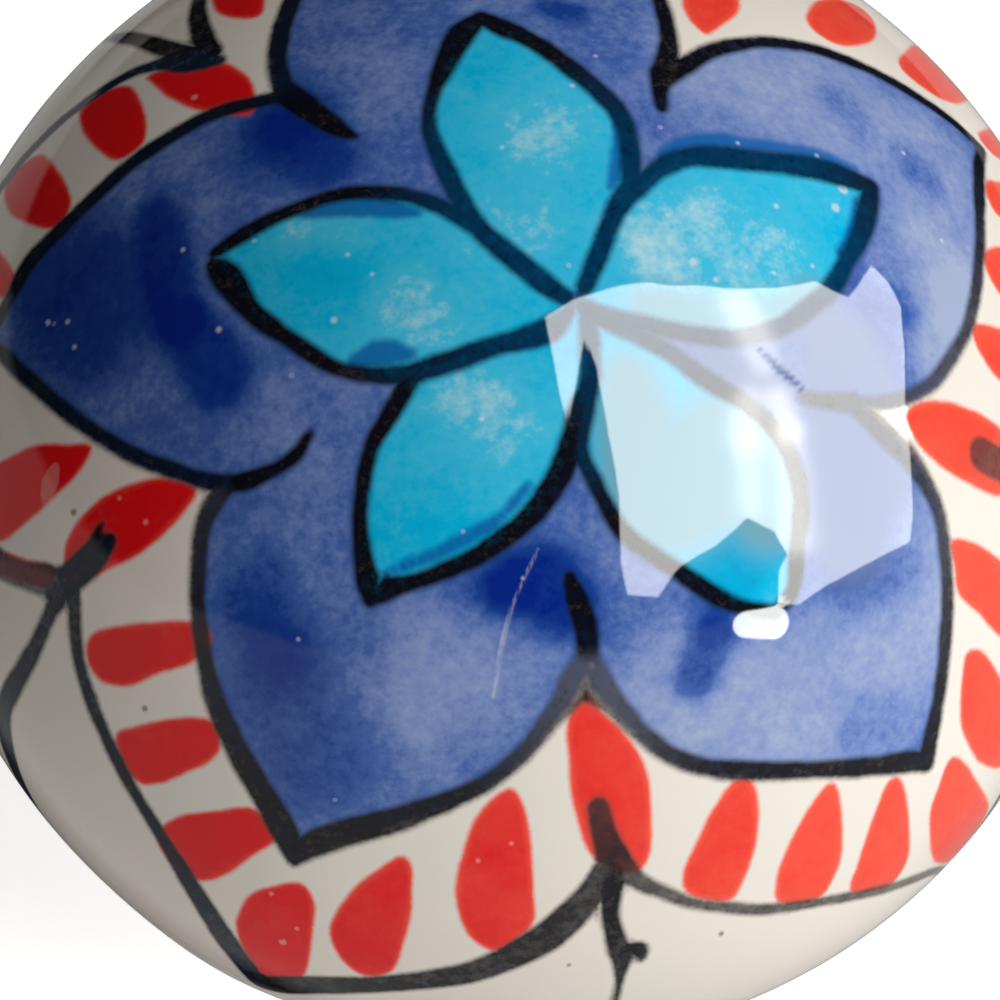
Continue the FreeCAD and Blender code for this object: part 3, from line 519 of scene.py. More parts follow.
class KnobHeadSettings(bpy.types.PropertyGroup):
    """Sizes of the ceramic head and of the mesh that draws it."""

    crown_flattening: FloatProperty(
        name="Crown flattening", description="How much lower the dome is than a half ball",
        default=3.6 * MM, unit="LENGTH")
    shoulder_inset: FloatProperty(
        name="Shoulder inset", description="Distance of the shoulder arc's centre from the axis",
        default=8.0 * MM, unit="LENGTH")
    belly_radius: FloatProperty(
        name="Belly radius", description="Radius of the arc under the widest line",
        default=9.4 * MM, unit="LENGTH")
    waist_radius: FloatProperty(
        name="Waist radius", description="Radius of the hollow above the foot",
        default=3.0 * MM, unit="LENGTH")
    neck_radius: FloatProperty(
        name="Neck radius", description="Radius of the head at its narrowest",
        default=7.5 * MM, unit="LENGTH")
    foot_radius: FloatProperty(
        name="Foot radius", description="Outer radius of the foot", default=9.3 * MM, unit="LENGTH")
    foot_rim_height: FloatProperty(
        name="Foot rim height", description="Height of the foot's upright edge",
        default=1.4 * MM, unit="LENGTH")
    foot_edge_radius: FloatProperty(
        name="Foot edge radius", description="Rounding of the foot's edges",
        default=0.5 * MM, unit="LENGTH")
    recess_radius: FloatProperty(
        name="Recess radius", description="Radius of the shallow recess in the foot",
        default=6.7 * MM, unit="LENGTH")
    recess_depth: FloatProperty(
        name="Recess depth", description="Depth of the shallow recess in the foot",
        default=0.5 * MM, unit="LENGTH")
    recess_edge_radius: FloatProperty(
        name="Recess edge radius", description="Rounding of the recess's edge",
        default=0.2 * MM, unit="LENGTH")
    pocket_radius: FloatProperty(
        name="Pocket radius", description="Radius of the pocket for the insert",
        default=5.2 * MM, unit="LENGTH")
    pocket_depth: FloatProperty(
        name="Pocket depth", description="Depth of the pocket from the foot's plane",
        default=14.9 * MM, unit="LENGTH")
    pocket_chamfer: FloatProperty(
        name="Pocket chamfer", description="Chamfer of the pocket's mouth",
        default=0.5 * MM, unit="LENGTH")
    pocket_floor_radius: FloatProperty(
        name="Pocket floor radius", description="Rounding at the bottom of the pocket",
        default=1.2 * MM, unit="LENGTH")
    unevenness: FloatProperty(
        name="Unevenness", description="Most that the hand made head leaves its even round",
        default=0.26 * MM, unit="LENGTH")
    columns: IntProperty(name="Columns", description="Steps round the head", default=544)


class KnobPaintSettings(bpy.types.PropertyGroup):
    """Colours of the glaze and the paint."""

    glaze_white: FloatVectorProperty(
        name="Glaze white", description="Body colour under the clear glaze",
        subtype="COLOR", size=4, default=(0.83, 0.755, 0.68, 1))
    cobalt_deep: FloatVectorProperty(
        name="Deep cobalt", description="Blue where it pooled",
        subtype="COLOR", size=4, default=(0.002, 0.02, 0.235, 1))
    cobalt: FloatVectorProperty(
        name="Cobalt", description="Blue of the large petals",
        subtype="COLOR", size=4, default=(0.06, 0.13, 0.41, 1))
    cobalt_thin: FloatVectorProperty(
        name="Thin cobalt", description="Blue where the brush ran dry",
        subtype="COLOR", size=4, default=(0.35, 0.42, 0.59, 1))
    # Painted reflection: the next two colours are laid where the softbox is mirrored.
    cobalt_under_reflection: FloatVectorProperty(
        name="Dull cobalt", description="Blue as it looks under the mirrored softbox",
        subtype="COLOR", size=4, default=(0.125, 0.18, 0.36, 1))
    turquoise_under_reflection: FloatVectorProperty(
        name="Dull turquoise", description="Turquoise as it looks under the mirrored softbox",
        subtype="COLOR", size=4, default=(0.17, 0.37, 0.46, 1))
    turquoise_deep: FloatVectorProperty(
        name="Deep turquoise", description="Turquoise where it lies thick",
        subtype="COLOR", size=4, default=(0.001, 0.34, 0.62, 1))
    turquoise: FloatVectorProperty(
        name="Turquoise", description="Turquoise of the small petals",
        subtype="COLOR", size=4, default=(0.003, 0.46, 0.74, 1))
    turquoise_thin: FloatVectorProperty(
        name="Thin turquoise", description="Turquoise where the white shows through",
        subtype="COLOR", size=4, default=(0.42, 0.7, 0.78, 1))
    turquoise_over_cobalt: FloatVectorProperty(
        name="Turquoise over cobalt", description="Where both blues lie on one another",
        subtype="COLOR", size=4, default=(0.004, 0.12, 0.4, 1))
    enamel_red: FloatVectorProperty(
        name="Red", description="Red of the dashes",
        subtype="COLOR", size=4, default=(0.8, 0.006, 0.009, 1))
    # Pale red where the red lies thin, also laid towards the right of the head as painted light.
    enamel_red_pale: FloatVectorProperty(
        name="Thin red", description="Red where it lies thin",
        subtype="COLOR", size=4, default=(0.93, 0.105, 0.06, 1))
    ink: FloatVectorProperty(
        name="Ink", description="Black of the outlines",
        subtype="COLOR", size=4, default=(0.004, 0.004, 0.008, 1))
    ink_thin: FloatVectorProperty(
        name="Thin ink", description="Brown at the edges of the outlines",
        subtype="COLOR", size=4, default=(0.1, 0.07, 0.055, 1))
    ink_tinted: FloatVectorProperty(
        name="Tinted ink", description="Outline colour where it mixed with turquoise",
        subtype="COLOR", size=4, default=(0.001, 0.035, 0.095, 1))
    bare_clay: FloatVectorProperty(
        name="Bare clay", description="Unglazed ring that the foot bears on",
        subtype="COLOR", size=4, default=(0.62, 0.54, 0.44, 1))


class KnobInsertSettings(bpy.types.PropertyGroup):
    """Sizes of the knurled insert and its thread."""

    band_gap_width: FloatProperty(
        name="Band gap width", description="Width of the groove between the knurled bands",
        default=1.8 * MM, unit="LENGTH")
    band_gap_depth: FloatProperty(
        name="Band gap depth", description="Depth of that groove", default=0.7 * MM, unit="LENGTH")
    end_chamfer: FloatProperty(
        name="End chamfer", description="Chamfer of both ends", default=0.4 * MM, unit="LENGTH")
    end_wall: FloatProperty(
        name="End wall", description="Metal left past the drill point", default=1.0 * MM, unit="LENGTH")
    knurl_depth: FloatProperty(
        name="Knurl depth", description="Depth of the knurl's notches",
        default=0.35 * MM, unit="LENGTH")
    knurl_count: IntProperty(name="Knurl count", description="Notches round the insert", default=28)
    core_diameter: FloatProperty(
        name="Core diameter", description="Inner diameter of the thread",
        default=3.3 * MM, unit="LENGTH")
    mouth_diameter: FloatProperty(
        name="Mouth diameter", description="Diameter of the bore's countersunk mouth",
        default=4.3 * MM, unit="LENGTH")
    thread_pitch: FloatProperty(
        name="Thread pitch", description="Rise of the thread in one turn",
        default=0.7 * MM, unit="LENGTH")
    thread_depth: FloatProperty(
        name="Thread depth", description="Depth of the thread's groove",
        default=0.35 * MM, unit="LENGTH")
    drill_angle: FloatProperty(
        name="Drill angle", description="Angle of the drilled point",
        default=radians(118), subtype="ANGLE")
    brass: FloatVectorProperty(
        name="Brass", description="Colour of the insert",
        subtype="COLOR", size=4, default=(0.78, 0.56, 0.25, 1))


class KnobStageSettings(bpy.types.PropertyGroup):
    """Camera, lamps and floor."""

    camera_distance: FloatProperty(
        name="Camera distance", description="From the middle of the head",
        default=0.4, unit="LENGTH")
    camera_elevation: FloatProperty(
        name="Camera elevation", description="Above the plane of the door",
        default=radians(69.8), subtype="ANGLE")
    camera_roll: FloatProperty(
        name="Camera roll", description="Turn of the painted face in the picture",
        default=radians(21.2), subtype="ANGLE")
    lens: FloatProperty(name="Lens", description="Focal length in millimetres", default=426.8)
    softbox_glow: FloatProperty(
        name="Softbox glow", description="Brightness of the softbox as the glaze mirrors it",
        default=10.9)
    softbox_power: FloatProperty(
        name="Softbox power", description="Power of the softbox in watts", default=3.46)
    fill_power: FloatProperty(
        name="Fill power", description="Power of the low lamp in front in watts", default=0.56)
    table_glow: FloatProperty(
        name="Table glow", description="Brightness of the table as the glaze mirrors it", default=0.35)
    ambient: FloatProperty(
        name="Ambient", description="Light from all round the studio", default=0.05)


# Sections and meshes.


def line_points(start, end, step):
    """Points from start to end about a step apart, without the last."""
    start, end = np.array(start, float), np.array(end, float)
    count = max(1, round(np.hypot(*(end - start)) / step))
    return start + (end - start) * np.linspace(0, 1, count, endpoint=False)[:, None]


def arc_points(centre, radius, start, end, step):
    """Points on an arc from one angle to another about a step apart, without the last."""
    count = max(1, round(abs(end - start) * radius / step))
    angle = np.linspace(start, end, count, endpoint=False)
    return np.column_stack([centre[0] + radius * np.cos(angle), centre[1] + radius * np.sin(angle)])


def dome_arcs(sizes):
    """The dome's rise, shoulder inset, shoulder and crown radii, and the angle where they join."""
    head = HEAD_HIGH.x
    rise, inset = head - sizes.crown_flattening, sizes.shoulder_inset
    shoulder = head - inset
    crown = (inset**2 + rise**2 - shoulder**2) / (2 * (rise - shoulder))
    return rise, inset, shoulder, crown, atan2(crown - rise, inset)


def head_section(sizes):
    """Half section (radius, height) of the head from the top of the dome round to the pocket's floor.

    Crown, shoulder and belly are arcs that run into each other, the waist is a hollow arc,
    and the foot has a rounded rim, a flat ring to bear on, a recess and the pocket.
    Also gives each point's way from the top and how much of the clay is bare there.
    """
    head = HEAD_HIGH.x
    rise, inset, shoulder, crown, shoulder_turn = dome_arcs(sizes)
    wide_z = HEAD_HIGH.z - rise
    crown_z = HEAD_HIGH.z - crown
    belly, waist = sizes.belly_radius, sizes.waist_radius
    belly_x, waist_x = head - belly, sizes.neck_radius + waist
    waist_z = wide_z - sqrt((belly + waist) ** 2 - (belly_x - waist_x) ** 2)
    waist_turn = atan2(wide_z - waist_z, belly_x - waist_x)
    foot, rim, edge = sizes.foot_radius, sizes.foot_rim_height, sizes.foot_edge_radius
    rim_x = foot - edge
    rim_z = waist_z - sqrt((waist + edge) ** 2 - (waist_x - rim_x) ** 2)
    rim_turn = atan2(waist_z - rim_z, waist_x - rim_x)
    recess, recess_z, small = sizes.recess_radius, sizes.recess_depth, sizes.recess_edge_radius
    pocket, lead = sizes.pocket_radius, sizes.pocket_chamfer
    floor, floor_bend = sizes.pocket_depth, sizes.pocket_floor_radius

    fine, middle, coarse = 0.25 * MM, 0.5 * MM, 1.2 * MM
    runs = [
        arc_points((0, crown_z), crown, pi / 2, shoulder_turn, fine),
        arc_points((inset, wide_z), shoulder, shoulder_turn, 0, fine),
        arc_points((belly_x, wide_z), belly, 0, waist_turn - pi, middle),
        arc_points((waist_x, waist_z), waist, waist_turn, rim_turn + pi, middle),
        arc_points((rim_x, rim_z), edge, rim_turn, 0, 0.13 * MM),
        line_points((foot, rim_z), (foot, edge), middle),
        arc_points((rim_x, edge), edge, 0, -pi / 2, 0.13 * MM),
        line_points((rim_x, 0), (recess + small, 0), middle),
        arc_points((recess + small, small), small, 1.5 * pi, pi, 0.1 * MM),
        line_points((recess, small), (recess, recess_z), middle),
        line_points((recess, recess_z), (pocket + lead, recess_z), middle),
        line_points((pocket + lead, recess_z), (pocket, recess_z + lead), middle),
        line_points((pocket, recess_z + lead), (pocket, floor - floor_bend), coarse),
        arc_points((pocket - floor_bend, floor - floor_bend), floor_bend, 0, pi / 2, middle),
        line_points((pocket - floor_bend, floor), (0, floor), coarse),
        np.array([[0, floor]]),
    ]
    section = np.vstack(runs)
    section[0, 0] = 0
    way = np.concatenate([[0], np.cumsum(np.hypot(*np.diff(section, axis=0).T))])
    part = np.concatenate([np.full(len(run), number) for number, run in enumerate(runs)])
    foot_edge_run, recess_run = 6, 8
    on_foot = (part >= foot_edge_run) & (section[:, 1] < edge * 0.7)
    inner = part >= recess_run
    return section, way, np.where(on_foot | inner, 1.0, 0.0)


def ring_faces(rows, columns):
    """Faces of a closed skin of rings with one point at each end, wound to face outwards."""
    column = np.arange(columns)
    after = (column + 1) % columns
    first = 1 + np.arange(rows - 3)[:, None] * columns
    last_ring = 1 + (rows - 3) * columns
    last = last_ring + columns
    quads = np.stack([first + column, first + columns + column, first + columns + after,
                      first + after], axis=-1).reshape(-1, 4)
    top = np.column_stack([np.zeros(columns, int), 1 + column, 1 + after])
    bottom = np.column_stack([np.full(columns, last), last_ring + after, last_ring + column])
    return quads.tolist() + top.tolist() + bottom.tolist()


def ring_points(radius, height, azimuth):
    """Points of a turned skin: one at each end, and a ring of (r cos a, r sin a, z) for each row."""
    x, y = radius * np.cos(azimuth), radius * np.sin(azimuth)
    z = np.broadcast_to(height, x.shape)
    rings = np.stack([x, y, z], axis=-1)
    return np.vstack([rings[0, 0], rings[1:-1].reshape(-1, 3), rings[-1, 0]])


def add_skin(name, points, faces, sharp_angle):
    """A mesh object with smooth faces and its corners past an angle kept sharp."""
    mesh = bpy.data.meshes.new(name)
    mesh.from_pydata(points.tolist(), [], faces)
    mesh.update()
    mesh.shade_smooth()
    mesh.set_sharp_from_angle(angle=sharp_angle)
    piece = bpy.data.objects.new(name, mesh)
    bpy.context.scene.collection.objects.link(piece)
    return piece


def add_field(mesh, name, values):
    """Keeps a value, or a vector of three, at each point of a mesh."""
    values = np.asarray(values, np.float32)
    kind, key = ("FLOAT", "value") if values.ndim == 1 else ("FLOAT_VECTOR", "vector")
    mesh.attributes.new(name, kind, "POINT").data.foreach_set(key, values.ravel())


def insert_section(sizes):
    """Half section (radius, height) of the insert from its blind end round to the drill point.

    Returns the points outside, which the knurl may cut, those inside, which the thread may cut,
    and the height at which the bore's straight part ends.
    """
    outer = INSERT_HIGH.x
    low, high = INSERT_LOW.z, INSERT_HIGH.z
    middle = (low + high) / 2
    gap = sizes.band_gap_width / 2
    ease = sizes.end_chamfer
    inner = outer - sizes.band_gap_depth
    core, mouth = sizes.core_diameter / 2, sizes.mouth_diameter / 2
    point_height = core / tan(sizes.drill_angle / 2)
    bore_end = high - sizes.end_wall - point_height
    step, fine = 0.8 * MM, sizes.thread_pitch / 9
    outside = [
        line_points((0, high), (outer - ease, high), step),
        line_points((outer - ease, high), (outer, high - ease), 0.14 * MM),
        line_points((outer, high - ease), (outer, middle + gap), step),
        line_points((outer, middle + gap), (inner, middle + gap), step),
        line_points((inner, middle + gap), (inner, middle - gap), step),
        line_points((inner, middle - gap), (outer, middle - gap), step),
        line_points((outer, middle - gap), (outer, low + ease), step),
        line_points((outer, low + ease), (outer - ease, low), 0.14 * MM),
        line_points((outer - ease, low), (mouth, low), step),
    ]
    inside = [
        line_points((mouth, low), (core, low + mouth - core), 0.12 * MM),
        line_points((core, low + mouth - core), (core, bore_end), fine),
        line_points((core, bore_end), (0, bore_end + point_height), step),
        np.array([[0, bore_end + point_height]]),
    ]
    outside, inside = np.vstack(outside), np.vstack(inside)
    return outside, inside, bore_end


# Node helpers.


def add_node(tree, kind, *links, **values):
    """A shader node with settings, whose inputs take values or the outputs of other nodes."""
    node = tree.nodes.new(kind)
    for key, value in values.items():
        setattr(node, key, value)
    for number, source in enumerate(links):
        put(tree, node.inputs[number], source)
    return node


def put(tree, socket, source):
    """Sets a socket to a value, or links it to another socket."""
    if source is None:
        return
    if isinstance(source, bpy.types.NodeSocket):
        tree.links.new(source, socket)
    else:
        socket.default_value = source


def calc(tree, operation, *inputs, clamp=False):
    """Result of one sum on numbers or on the outputs of other nodes."""
    return add_node(tree, "ShaderNodeMath", *inputs, operation=operation, use_clamp=clamp).outputs[0]


def blend(tree, factor, first, second, mode="MIX"):
    """Colour mixed from first to second by the factor."""
    node = add_node(tree, "ShaderNodeMix", data_type="RGBA", blend_type=mode)
    put(tree, node.inputs["Factor"], factor)
    put(tree, node.inputs[6], first)
    put(tree, node.inputs[7], second)
    return node.outputs[2]


def ramp(tree, factor, *stops):
    """Colour ramp through (place, colour) stops."""
    node = add_node(tree, "ShaderNodeValToRGB", factor)
    elements = node.color_ramp.elements
    while len(elements) < len(stops):
        elements.new(0.5)
    for element, (place, colour) in zip(elements, stops):
        element.position = place
        element.color = colour
    return node.outputs[0]


def remap(tree, value, low, high, to_low=0.0, to_high=1.0):
    """Value carried smoothly from one range to another and held at its ends."""
    node = add_node(tree, "ShaderNodeMapRange", value, low, high, to_low, to_high,
                    interpolation_type="SMOOTHSTEP")
    return node.outputs[0]


def noise(tree, vector, scale, detail, roughness=0.5):
    """Value noise with features of about one over the scale, in metres."""
    node = add_node(tree, "ShaderNodeTexNoise")
    put(tree, node.inputs["Vector"], vector)
    put(tree, node.inputs["Scale"], scale)
    put(tree, node.inputs["Detail"], detail)
    put(tree, node.inputs["Roughness"], roughness)
    return node.outputs[0]


def painted(tree, name, output="Fac"):
    """The value of one of the piece's painted fields."""
    return add_node(tree, "ShaderNodeAttribute", attribute_name=name).outputs[output]


def new_group(name, inputs, outputs):
    """An empty shader node group with named float or vector inputs and float outputs."""
    group = bpy.data.node_groups.new(name, "ShaderNodeTree")
    for label, kind, value in inputs:
        socket = group.interface.new_socket(name=label, in_out="INPUT", socket_type=kind)
        if value is not None:
            socket.default_value = value
    for label in outputs:
        group.interface.new_socket(name=label, in_out="OUTPUT", socket_type="NodeSocketFloat")
    return group, group.nodes.new("NodeGroupInput").outputs, group.nodes.new("NodeGroupOutput").inputs


def brush_edge_group():
    """Turns a distance into a mask whose edge wanders as a brush and the running glaze leave it."""
    group, given, result = new_group(
        "Brush Edge",
        [("Vector", "NodeSocketVector", None), ("Distance", "NodeSocketFloat", 0.0),
         ("Softness", "NodeSocketFloat", 0.1), ("Wander", "NodeSocketFloat", 0.1)],
        ["Mask"])
    slow = calc(group, "SUBTRACT", noise(group, given["Vector"], 900.0, 2.0), 0.5)
    quick = calc(group, "SUBTRACT", noise(group, given["Vector"], 5200.0, 2.0, 0.6), 0.5)
    shift = calc(group, "MULTIPLY", calc(group, "ADD", slow, calc(group, "MULTIPLY", quick, 0.45)),
                 given["Wander"])
    place = calc(group, "ADD", given["Distance"], shift)
    share = calc(group, "DIVIDE", place, given["Softness"])
    put(group, result["Mask"], remap(group, share, -1.0, 1.0))
    return group


def pigment_group():
    """Clouds and fine grain of a water colour under glaze, as a value round nought."""
    group, given, result = new_group(
        "Pigment Mottle",
        [("Vector", "NodeSocketVector", None), ("Cloud", "NodeSocketFloat", 1.0),
         ("Grain", "NodeSocketFloat", 1.0)],
        ["Value"])
    clouds = calc(group, "SUBTRACT", noise(group, given["Vector"], 400.0, 4.0, 0.66), 0.5)
    grain = calc(group, "SUBTRACT", noise(group, given["Vector"], 2600.0, 3.0, 0.65), 0.5)
    value = calc(group, "ADD", calc(group, "MULTIPLY", clouds, given["Cloud"]),
                 calc(group, "MULTIPLY", grain, given["Grain"]))
    put(group, result["Value"], value)
    return group


def speck_group():
    """Scattered round specks: a mask that is one inside a speck, from the distance to cell points."""
    group, given, result = new_group(
        "Fine Specks",
        [("Vector", "NodeSocketVector", None), ("Scale", "NodeSocketFloat", 600.0),
         ("Size", "NodeSocketFloat", 0.08), ("Rarity", "NodeSocketFloat", 0.8)],
        ["Mask"])
    cells = add_node(group, "ShaderNodeTexVoronoi")
    put(group, cells.inputs["Vector"], given["Vector"])
    put(group, cells.inputs["Scale"], given["Scale"])
    chance = add_node(group, "ShaderNodeSeparateColor", cells.outputs["Color"])
    rare = calc(group, "GREATER_THAN", chance.outputs[0], given["Rarity"])
    size = calc(group, "MULTIPLY", given["Size"], calc(group, "ADD", chance.outputs[1], 0.4))
    share = calc(group, "DIVIDE", cells.outputs["Distance"], size)
    put(group, result["Mask"], calc(group, "MULTIPLY", remap(group, share, 1.2, 0.8), rare))
    return group


def round_dot_group():
    """How far inside a dot a place lies, from its offset (x, y) from the dot's middle and half width z."""
    group, given, result = new_group("Round Dot", [("Offset", "NodeSocketVector", None)], ["Depth"])
    parts = add_node(group, "ShaderNodeSeparateXYZ", given["Offset"]).outputs
    square = calc(group, "ADD", calc(group, "MULTIPLY", parts[0], parts[0]),
                  calc(group, "MULTIPLY", parts[1], parts[1]))
    put(group, result["Depth"], calc(group, "SUBTRACT", parts[2], calc(group, "SQRT", square)))
    return group


def use_group(tree, group, **values):
    """Places a node group and sets or links its named inputs."""
    node = add_node(tree, "ShaderNodeGroup", node_tree=group)
    for label, source in values.items():
        put(tree, node.inputs[label], source)
    return node.outputs[0]


def new_material(name):
    """An empty material, its tree, its Principled shader and the object's own coordinates."""
    material = bpy.data.materials.new(name)
    material.use_nodes = True
    tree = material.node_tree
    tree.nodes.clear()
    shader = add_node(tree, "ShaderNodeBsdfPrincipled")
    output = add_node(tree, "ShaderNodeOutputMaterial")
    tree.links.new(shader.outputs[0], output.inputs[0])
    place = add_node(tree, "ShaderNodeTexCoord").outputs["Object"]
    return material, tree, shader, place


def glazed_paint_material(colours):
    """White glaze with the painted flower under it, and bare clay where the foot bears."""
    material, tree, shader, place = new_material("glazed_painted_ceramic")
    edge, mottle, specks, dots = brush_edge_group(), pigment_group(), speck_group(), round_dot_group()

    def brushed(depth, softness, wander):
        return use_group(tree, edge, Vector=place, Distance=depth, Softness=softness, Wander=wander)

    def dotted(name):
        return brushed(use_group(tree, dots, Offset=painted(tree, name, "Vector")), 0.08, 0.1)

    def clouded(cloud, grain, middle):
        value = use_group(tree, mottle, Vector=place, Cloud=cloud, Grain=grain)
        return calc(tree, "ADD", calc(tree, "ADD", value, wash), middle)

    wash = calc(tree, "MULTIPLY", painted(tree, "wash"), 0.45)

    cloudy = remap(tree, noise(tree, place, 160.0, 3.0), 0.3, 0.7)
    white = blend(tree, cloudy, colours.glaze_white, (0.8, 0.755, 0.67, 1))
    fly_specks = use_group(tree, specks, Vector=place, Scale=240.0, Size=0.03, Rarity=0.7)
    dark = calc(tree, "MAXIMUM", dotted("speck"), calc(tree, "MULTIPLY", fly_specks, 0.5))
    colour = blend(tree, calc(tree, "MULTIPLY", dark, 0.7), white, (0.09, 0.06, 0.04, 1))

    cobalt = ramp(tree, clouded(0.45, 0.35, 0.395), (0.08, colours.cobalt_deep),
                  (0.34, (0.012, 0.055, 0.29, 1)), (0.54, colours.cobalt),
                  (0.72, (0.18, 0.26, 0.53, 1)), (0.98, colours.cobalt_thin))
    # Painted reflection: the blues turn greyer where the softbox is mirrored, and stay so in every view.
    painted_reflection_dulling = calc(tree, "MULTIPLY", painted(tree, "painted_reflection_dulling"), 1.0, clamp=True)
    cobalt = blend(tree, painted_reflection_dulling, cobalt, colours.cobalt_under_reflection)
    on_blue = brushed(calc(tree, "ADD", painted(tree, "blue_depth"), 0.18), 0.14, 0.25)
    colour = blend(tree, on_blue, colour, cobalt)
    turquoise = ramp(tree, clouded(0.55, 0.4, 0.42), (0.2, colours.turquoise_deep), (0.5, colours.turquoise),
                     (0.76, (0.06, 0.52, 0.745, 1)), (1.0, colours.turquoise_thin))
    turquoise = blend(tree, painted_reflection_dulling, turquoise, colours.turquoise_under_reflection)
    smear = calc(tree, "MULTIPLY", brushed(painted(tree, "smear_depth"), 0.17, 0.3), 0.88)
    colour = blend(tree, brushed(painted(tree, "heart_depth"), 0.16, 0.25), colour, turquoise)
    colour = blend(tree, smear, colour, colours.turquoise_over_cobalt)

    pin = use_group(tree, specks, Vector=place, Scale=560.0, Size=0.05, Rarity=0.72)
    bare = calc(tree, "MAXIMUM", dotted("pinhole"), calc(tree, "MULTIPLY", pin, 0.4))
    # The scratch and the painted highlight on a red dash both pale the colour here.
    scratch_and_highlight = calc(tree, "MULTIPLY", brushed(painted(tree, "scratch_and_highlight_depth"), 0.07, 0.1), 0.6)
    bare = calc(tree, "MAXIMUM", bare, scratch_and_highlight)
    on_paint = remap(tree, painted(tree, "blue_depth"), -0.1, 0.2)
    colour = blend(tree, calc(tree, "MULTIPLY", calc(tree, "MULTIPLY", bare, on_paint), 0.6), colour,
                   (0.72, 0.72, 0.74, 1))

    red_mask = brushed(painted(tree, "dash_depth"), 0.13, 0.14)
    # Painted light: the red turns paler from 14 mm left of the axis to 15 mm right, as on the lit side; the
    # mottle and the thin edges of the dashes add where the red really lies thin.
    across = add_node(tree, "ShaderNodeSeparateXYZ", place).outputs[0]
    red_thinness_and_painted_light = remap(tree, across, -14.0 * MM, 15.0 * MM, -0.1, 0.75)
    red_thinness_and_painted_light = calc(tree, "ADD", use_group(tree, mottle, Vector=place, Cloud=0.9, Grain=0.35), red_thinness_and_painted_light)
    thin_edge = remap(tree, painted(tree, "dash_depth"), 0.35, 0.0, 0.0, 0.5)
    red_thinness_and_painted_light = calc(tree, "ADD", red_thinness_and_painted_light, thin_edge, clamp=True)
    red = blend(tree, red_thinness_and_painted_light, colours.enamel_red, colours.enamel_red_pale)
    red = blend(tree, calc(tree, "MULTIPLY", bare, 0.5), red, (0.85, 0.5, 0.42, 1))
    colour = blend(tree, red_mask, colour, red)

    ink_mask = brushed(calc(tree, "ADD", painted(tree, "ink_depth"), 0.04), 0.17, 0.16)
    uneven = use_group(tree, mottle, Vector=place, Cloud=0.5, Grain=0.8)
    lean = remap(tree, painted(tree, "ink_density"), 1.0, 0.78)
    cover = calc(tree, "SUBTRACT", 1.0, calc(tree, "MULTIPLY", lean, 0.16))
    density = calc(tree, "ADD", calc(tree, "MULTIPLY", uneven, 0.3), cover, clamp=True)
    ink = blend(tree, remap(tree, uneven, 0.02, 0.3), colours.ink, (0.045, 0.036, 0.032, 1))
    faint = blend(tree, on_blue, (0.06, 0.046, 0.043, 1), (0.06, 0.057, 0.058, 1))
    faint = blend(tree, remap(tree, uneven, 0.0, 0.25), faint, (0.02, 0.018, 0.02, 1))
    ink = blend(tree, lean, ink, faint)
    tinted = blend(tree, remap(tree, uneven, 0.02, 0.25), colours.ink_tinted, (0.0005, 0.012, 0.03, 1))
    ink = blend(tree, painted(tree, "ink_tint"), ink, tinted)
    ink_edge = blend(tree, on_blue, colours.ink_thin, (0.004, 0.03, 0.09, 1))
    ink = blend(tree, remap(tree, ink_mask, 0.3, 0.95), ink_edge, ink)
    colour = blend(tree, calc(tree, "MULTIPLY", ink_mask, density), colour, ink)

    bare_clay = painted(tree, "bare_clay")
    grit = remap(tree, noise(tree, place, 2600.0, 4.0, 0.7), 0.3, 0.7)
    clay = blend(tree, grit, colours.bare_clay, (0.44, 0.36, 0.27, 1))
    colour = blend(tree, bare_clay, colour, clay)
    put(tree, shader.inputs["Base Color"], colour)

    shader.inputs["Roughness"].default_value = 0.85
    shader.inputs["Specular IOR Level"].default_value = 0.0
    put(tree, shader.inputs["Coat Weight"], calc(tree, "SUBTRACT", 1.0, bare_clay))
    shader.inputs["Coat Roughness"].default_value = 0.02
    shader.inputs["Coat IOR"].default_value = 1.5

    swell = noise(tree, place, 240.0, 2.0)
    peel = calc(tree, "MULTIPLY", noise(tree, place, 1100.0, 2.0), 0.035)
    relief = calc(tree, "ADD", swell, peel)
    relief = calc(tree, "ADD", relief, calc(tree, "MULTIPLY", red_mask, 0.12))
    relief = calc(tree, "SUBTRACT", relief, calc(tree, "MULTIPLY", bare, 0.1))
    relief = calc(tree, "ADD", relief, calc(tree, "MULTIPLY", calc(tree, "MULTIPLY", grit, bare_clay), 0.4))
    bump = add_node(tree, "ShaderNodeBump")
    bump.inputs["Strength"].default_value = 0.5
    bump.inputs["Distance"].default_value = 0.03 * MM
    put(tree, bump.inputs["Height"], relief)
    put(tree, shader.inputs["Normal"], bump.outputs[0])
    put(tree, shader.inputs["Coat Normal"], bump.outputs[0])
    return material


def brass_material(colour):
    """Turned brass, dulled in patches, with fine tool marks round it."""
    material, tree, shader, place = new_material("turned_brass")
    axes = add_node(tree, "ShaderNodeSeparateXYZ", place).outputs
    rings = add_node(tree, "ShaderNodeTexNoise")
    rings.noise_dimensions = "1D"
    put(tree, rings.inputs["W"], axes[2])
    rings.inputs["Scale"].default_value = 9000.0
    stain = remap(tree, noise(tree, place, 700.0, 4.0, 0.6), 0.35, 0.75)
    dull = blend(tree, stain, tuple(colour), (0.46, 0.31, 0.13, 1))
    put(tree, shader.inputs["Base Color"], dull)
    shader.inputs["Metallic"].default_value = 1.0
    put(tree, shader.inputs["Roughness"], remap(tree, stain, 0.0, 1.0, 0.24, 0.5))
    bump = add_node(tree, "ShaderNodeBump")
    bump.inputs["Strength"].default_value = 0.4
    bump.inputs["Distance"].default_value = 0.01 * MM
    put(tree, bump.inputs["Height"], rings.outputs[0])
    put(tree, shader.inputs["Normal"], bump.outputs[0])
    return material


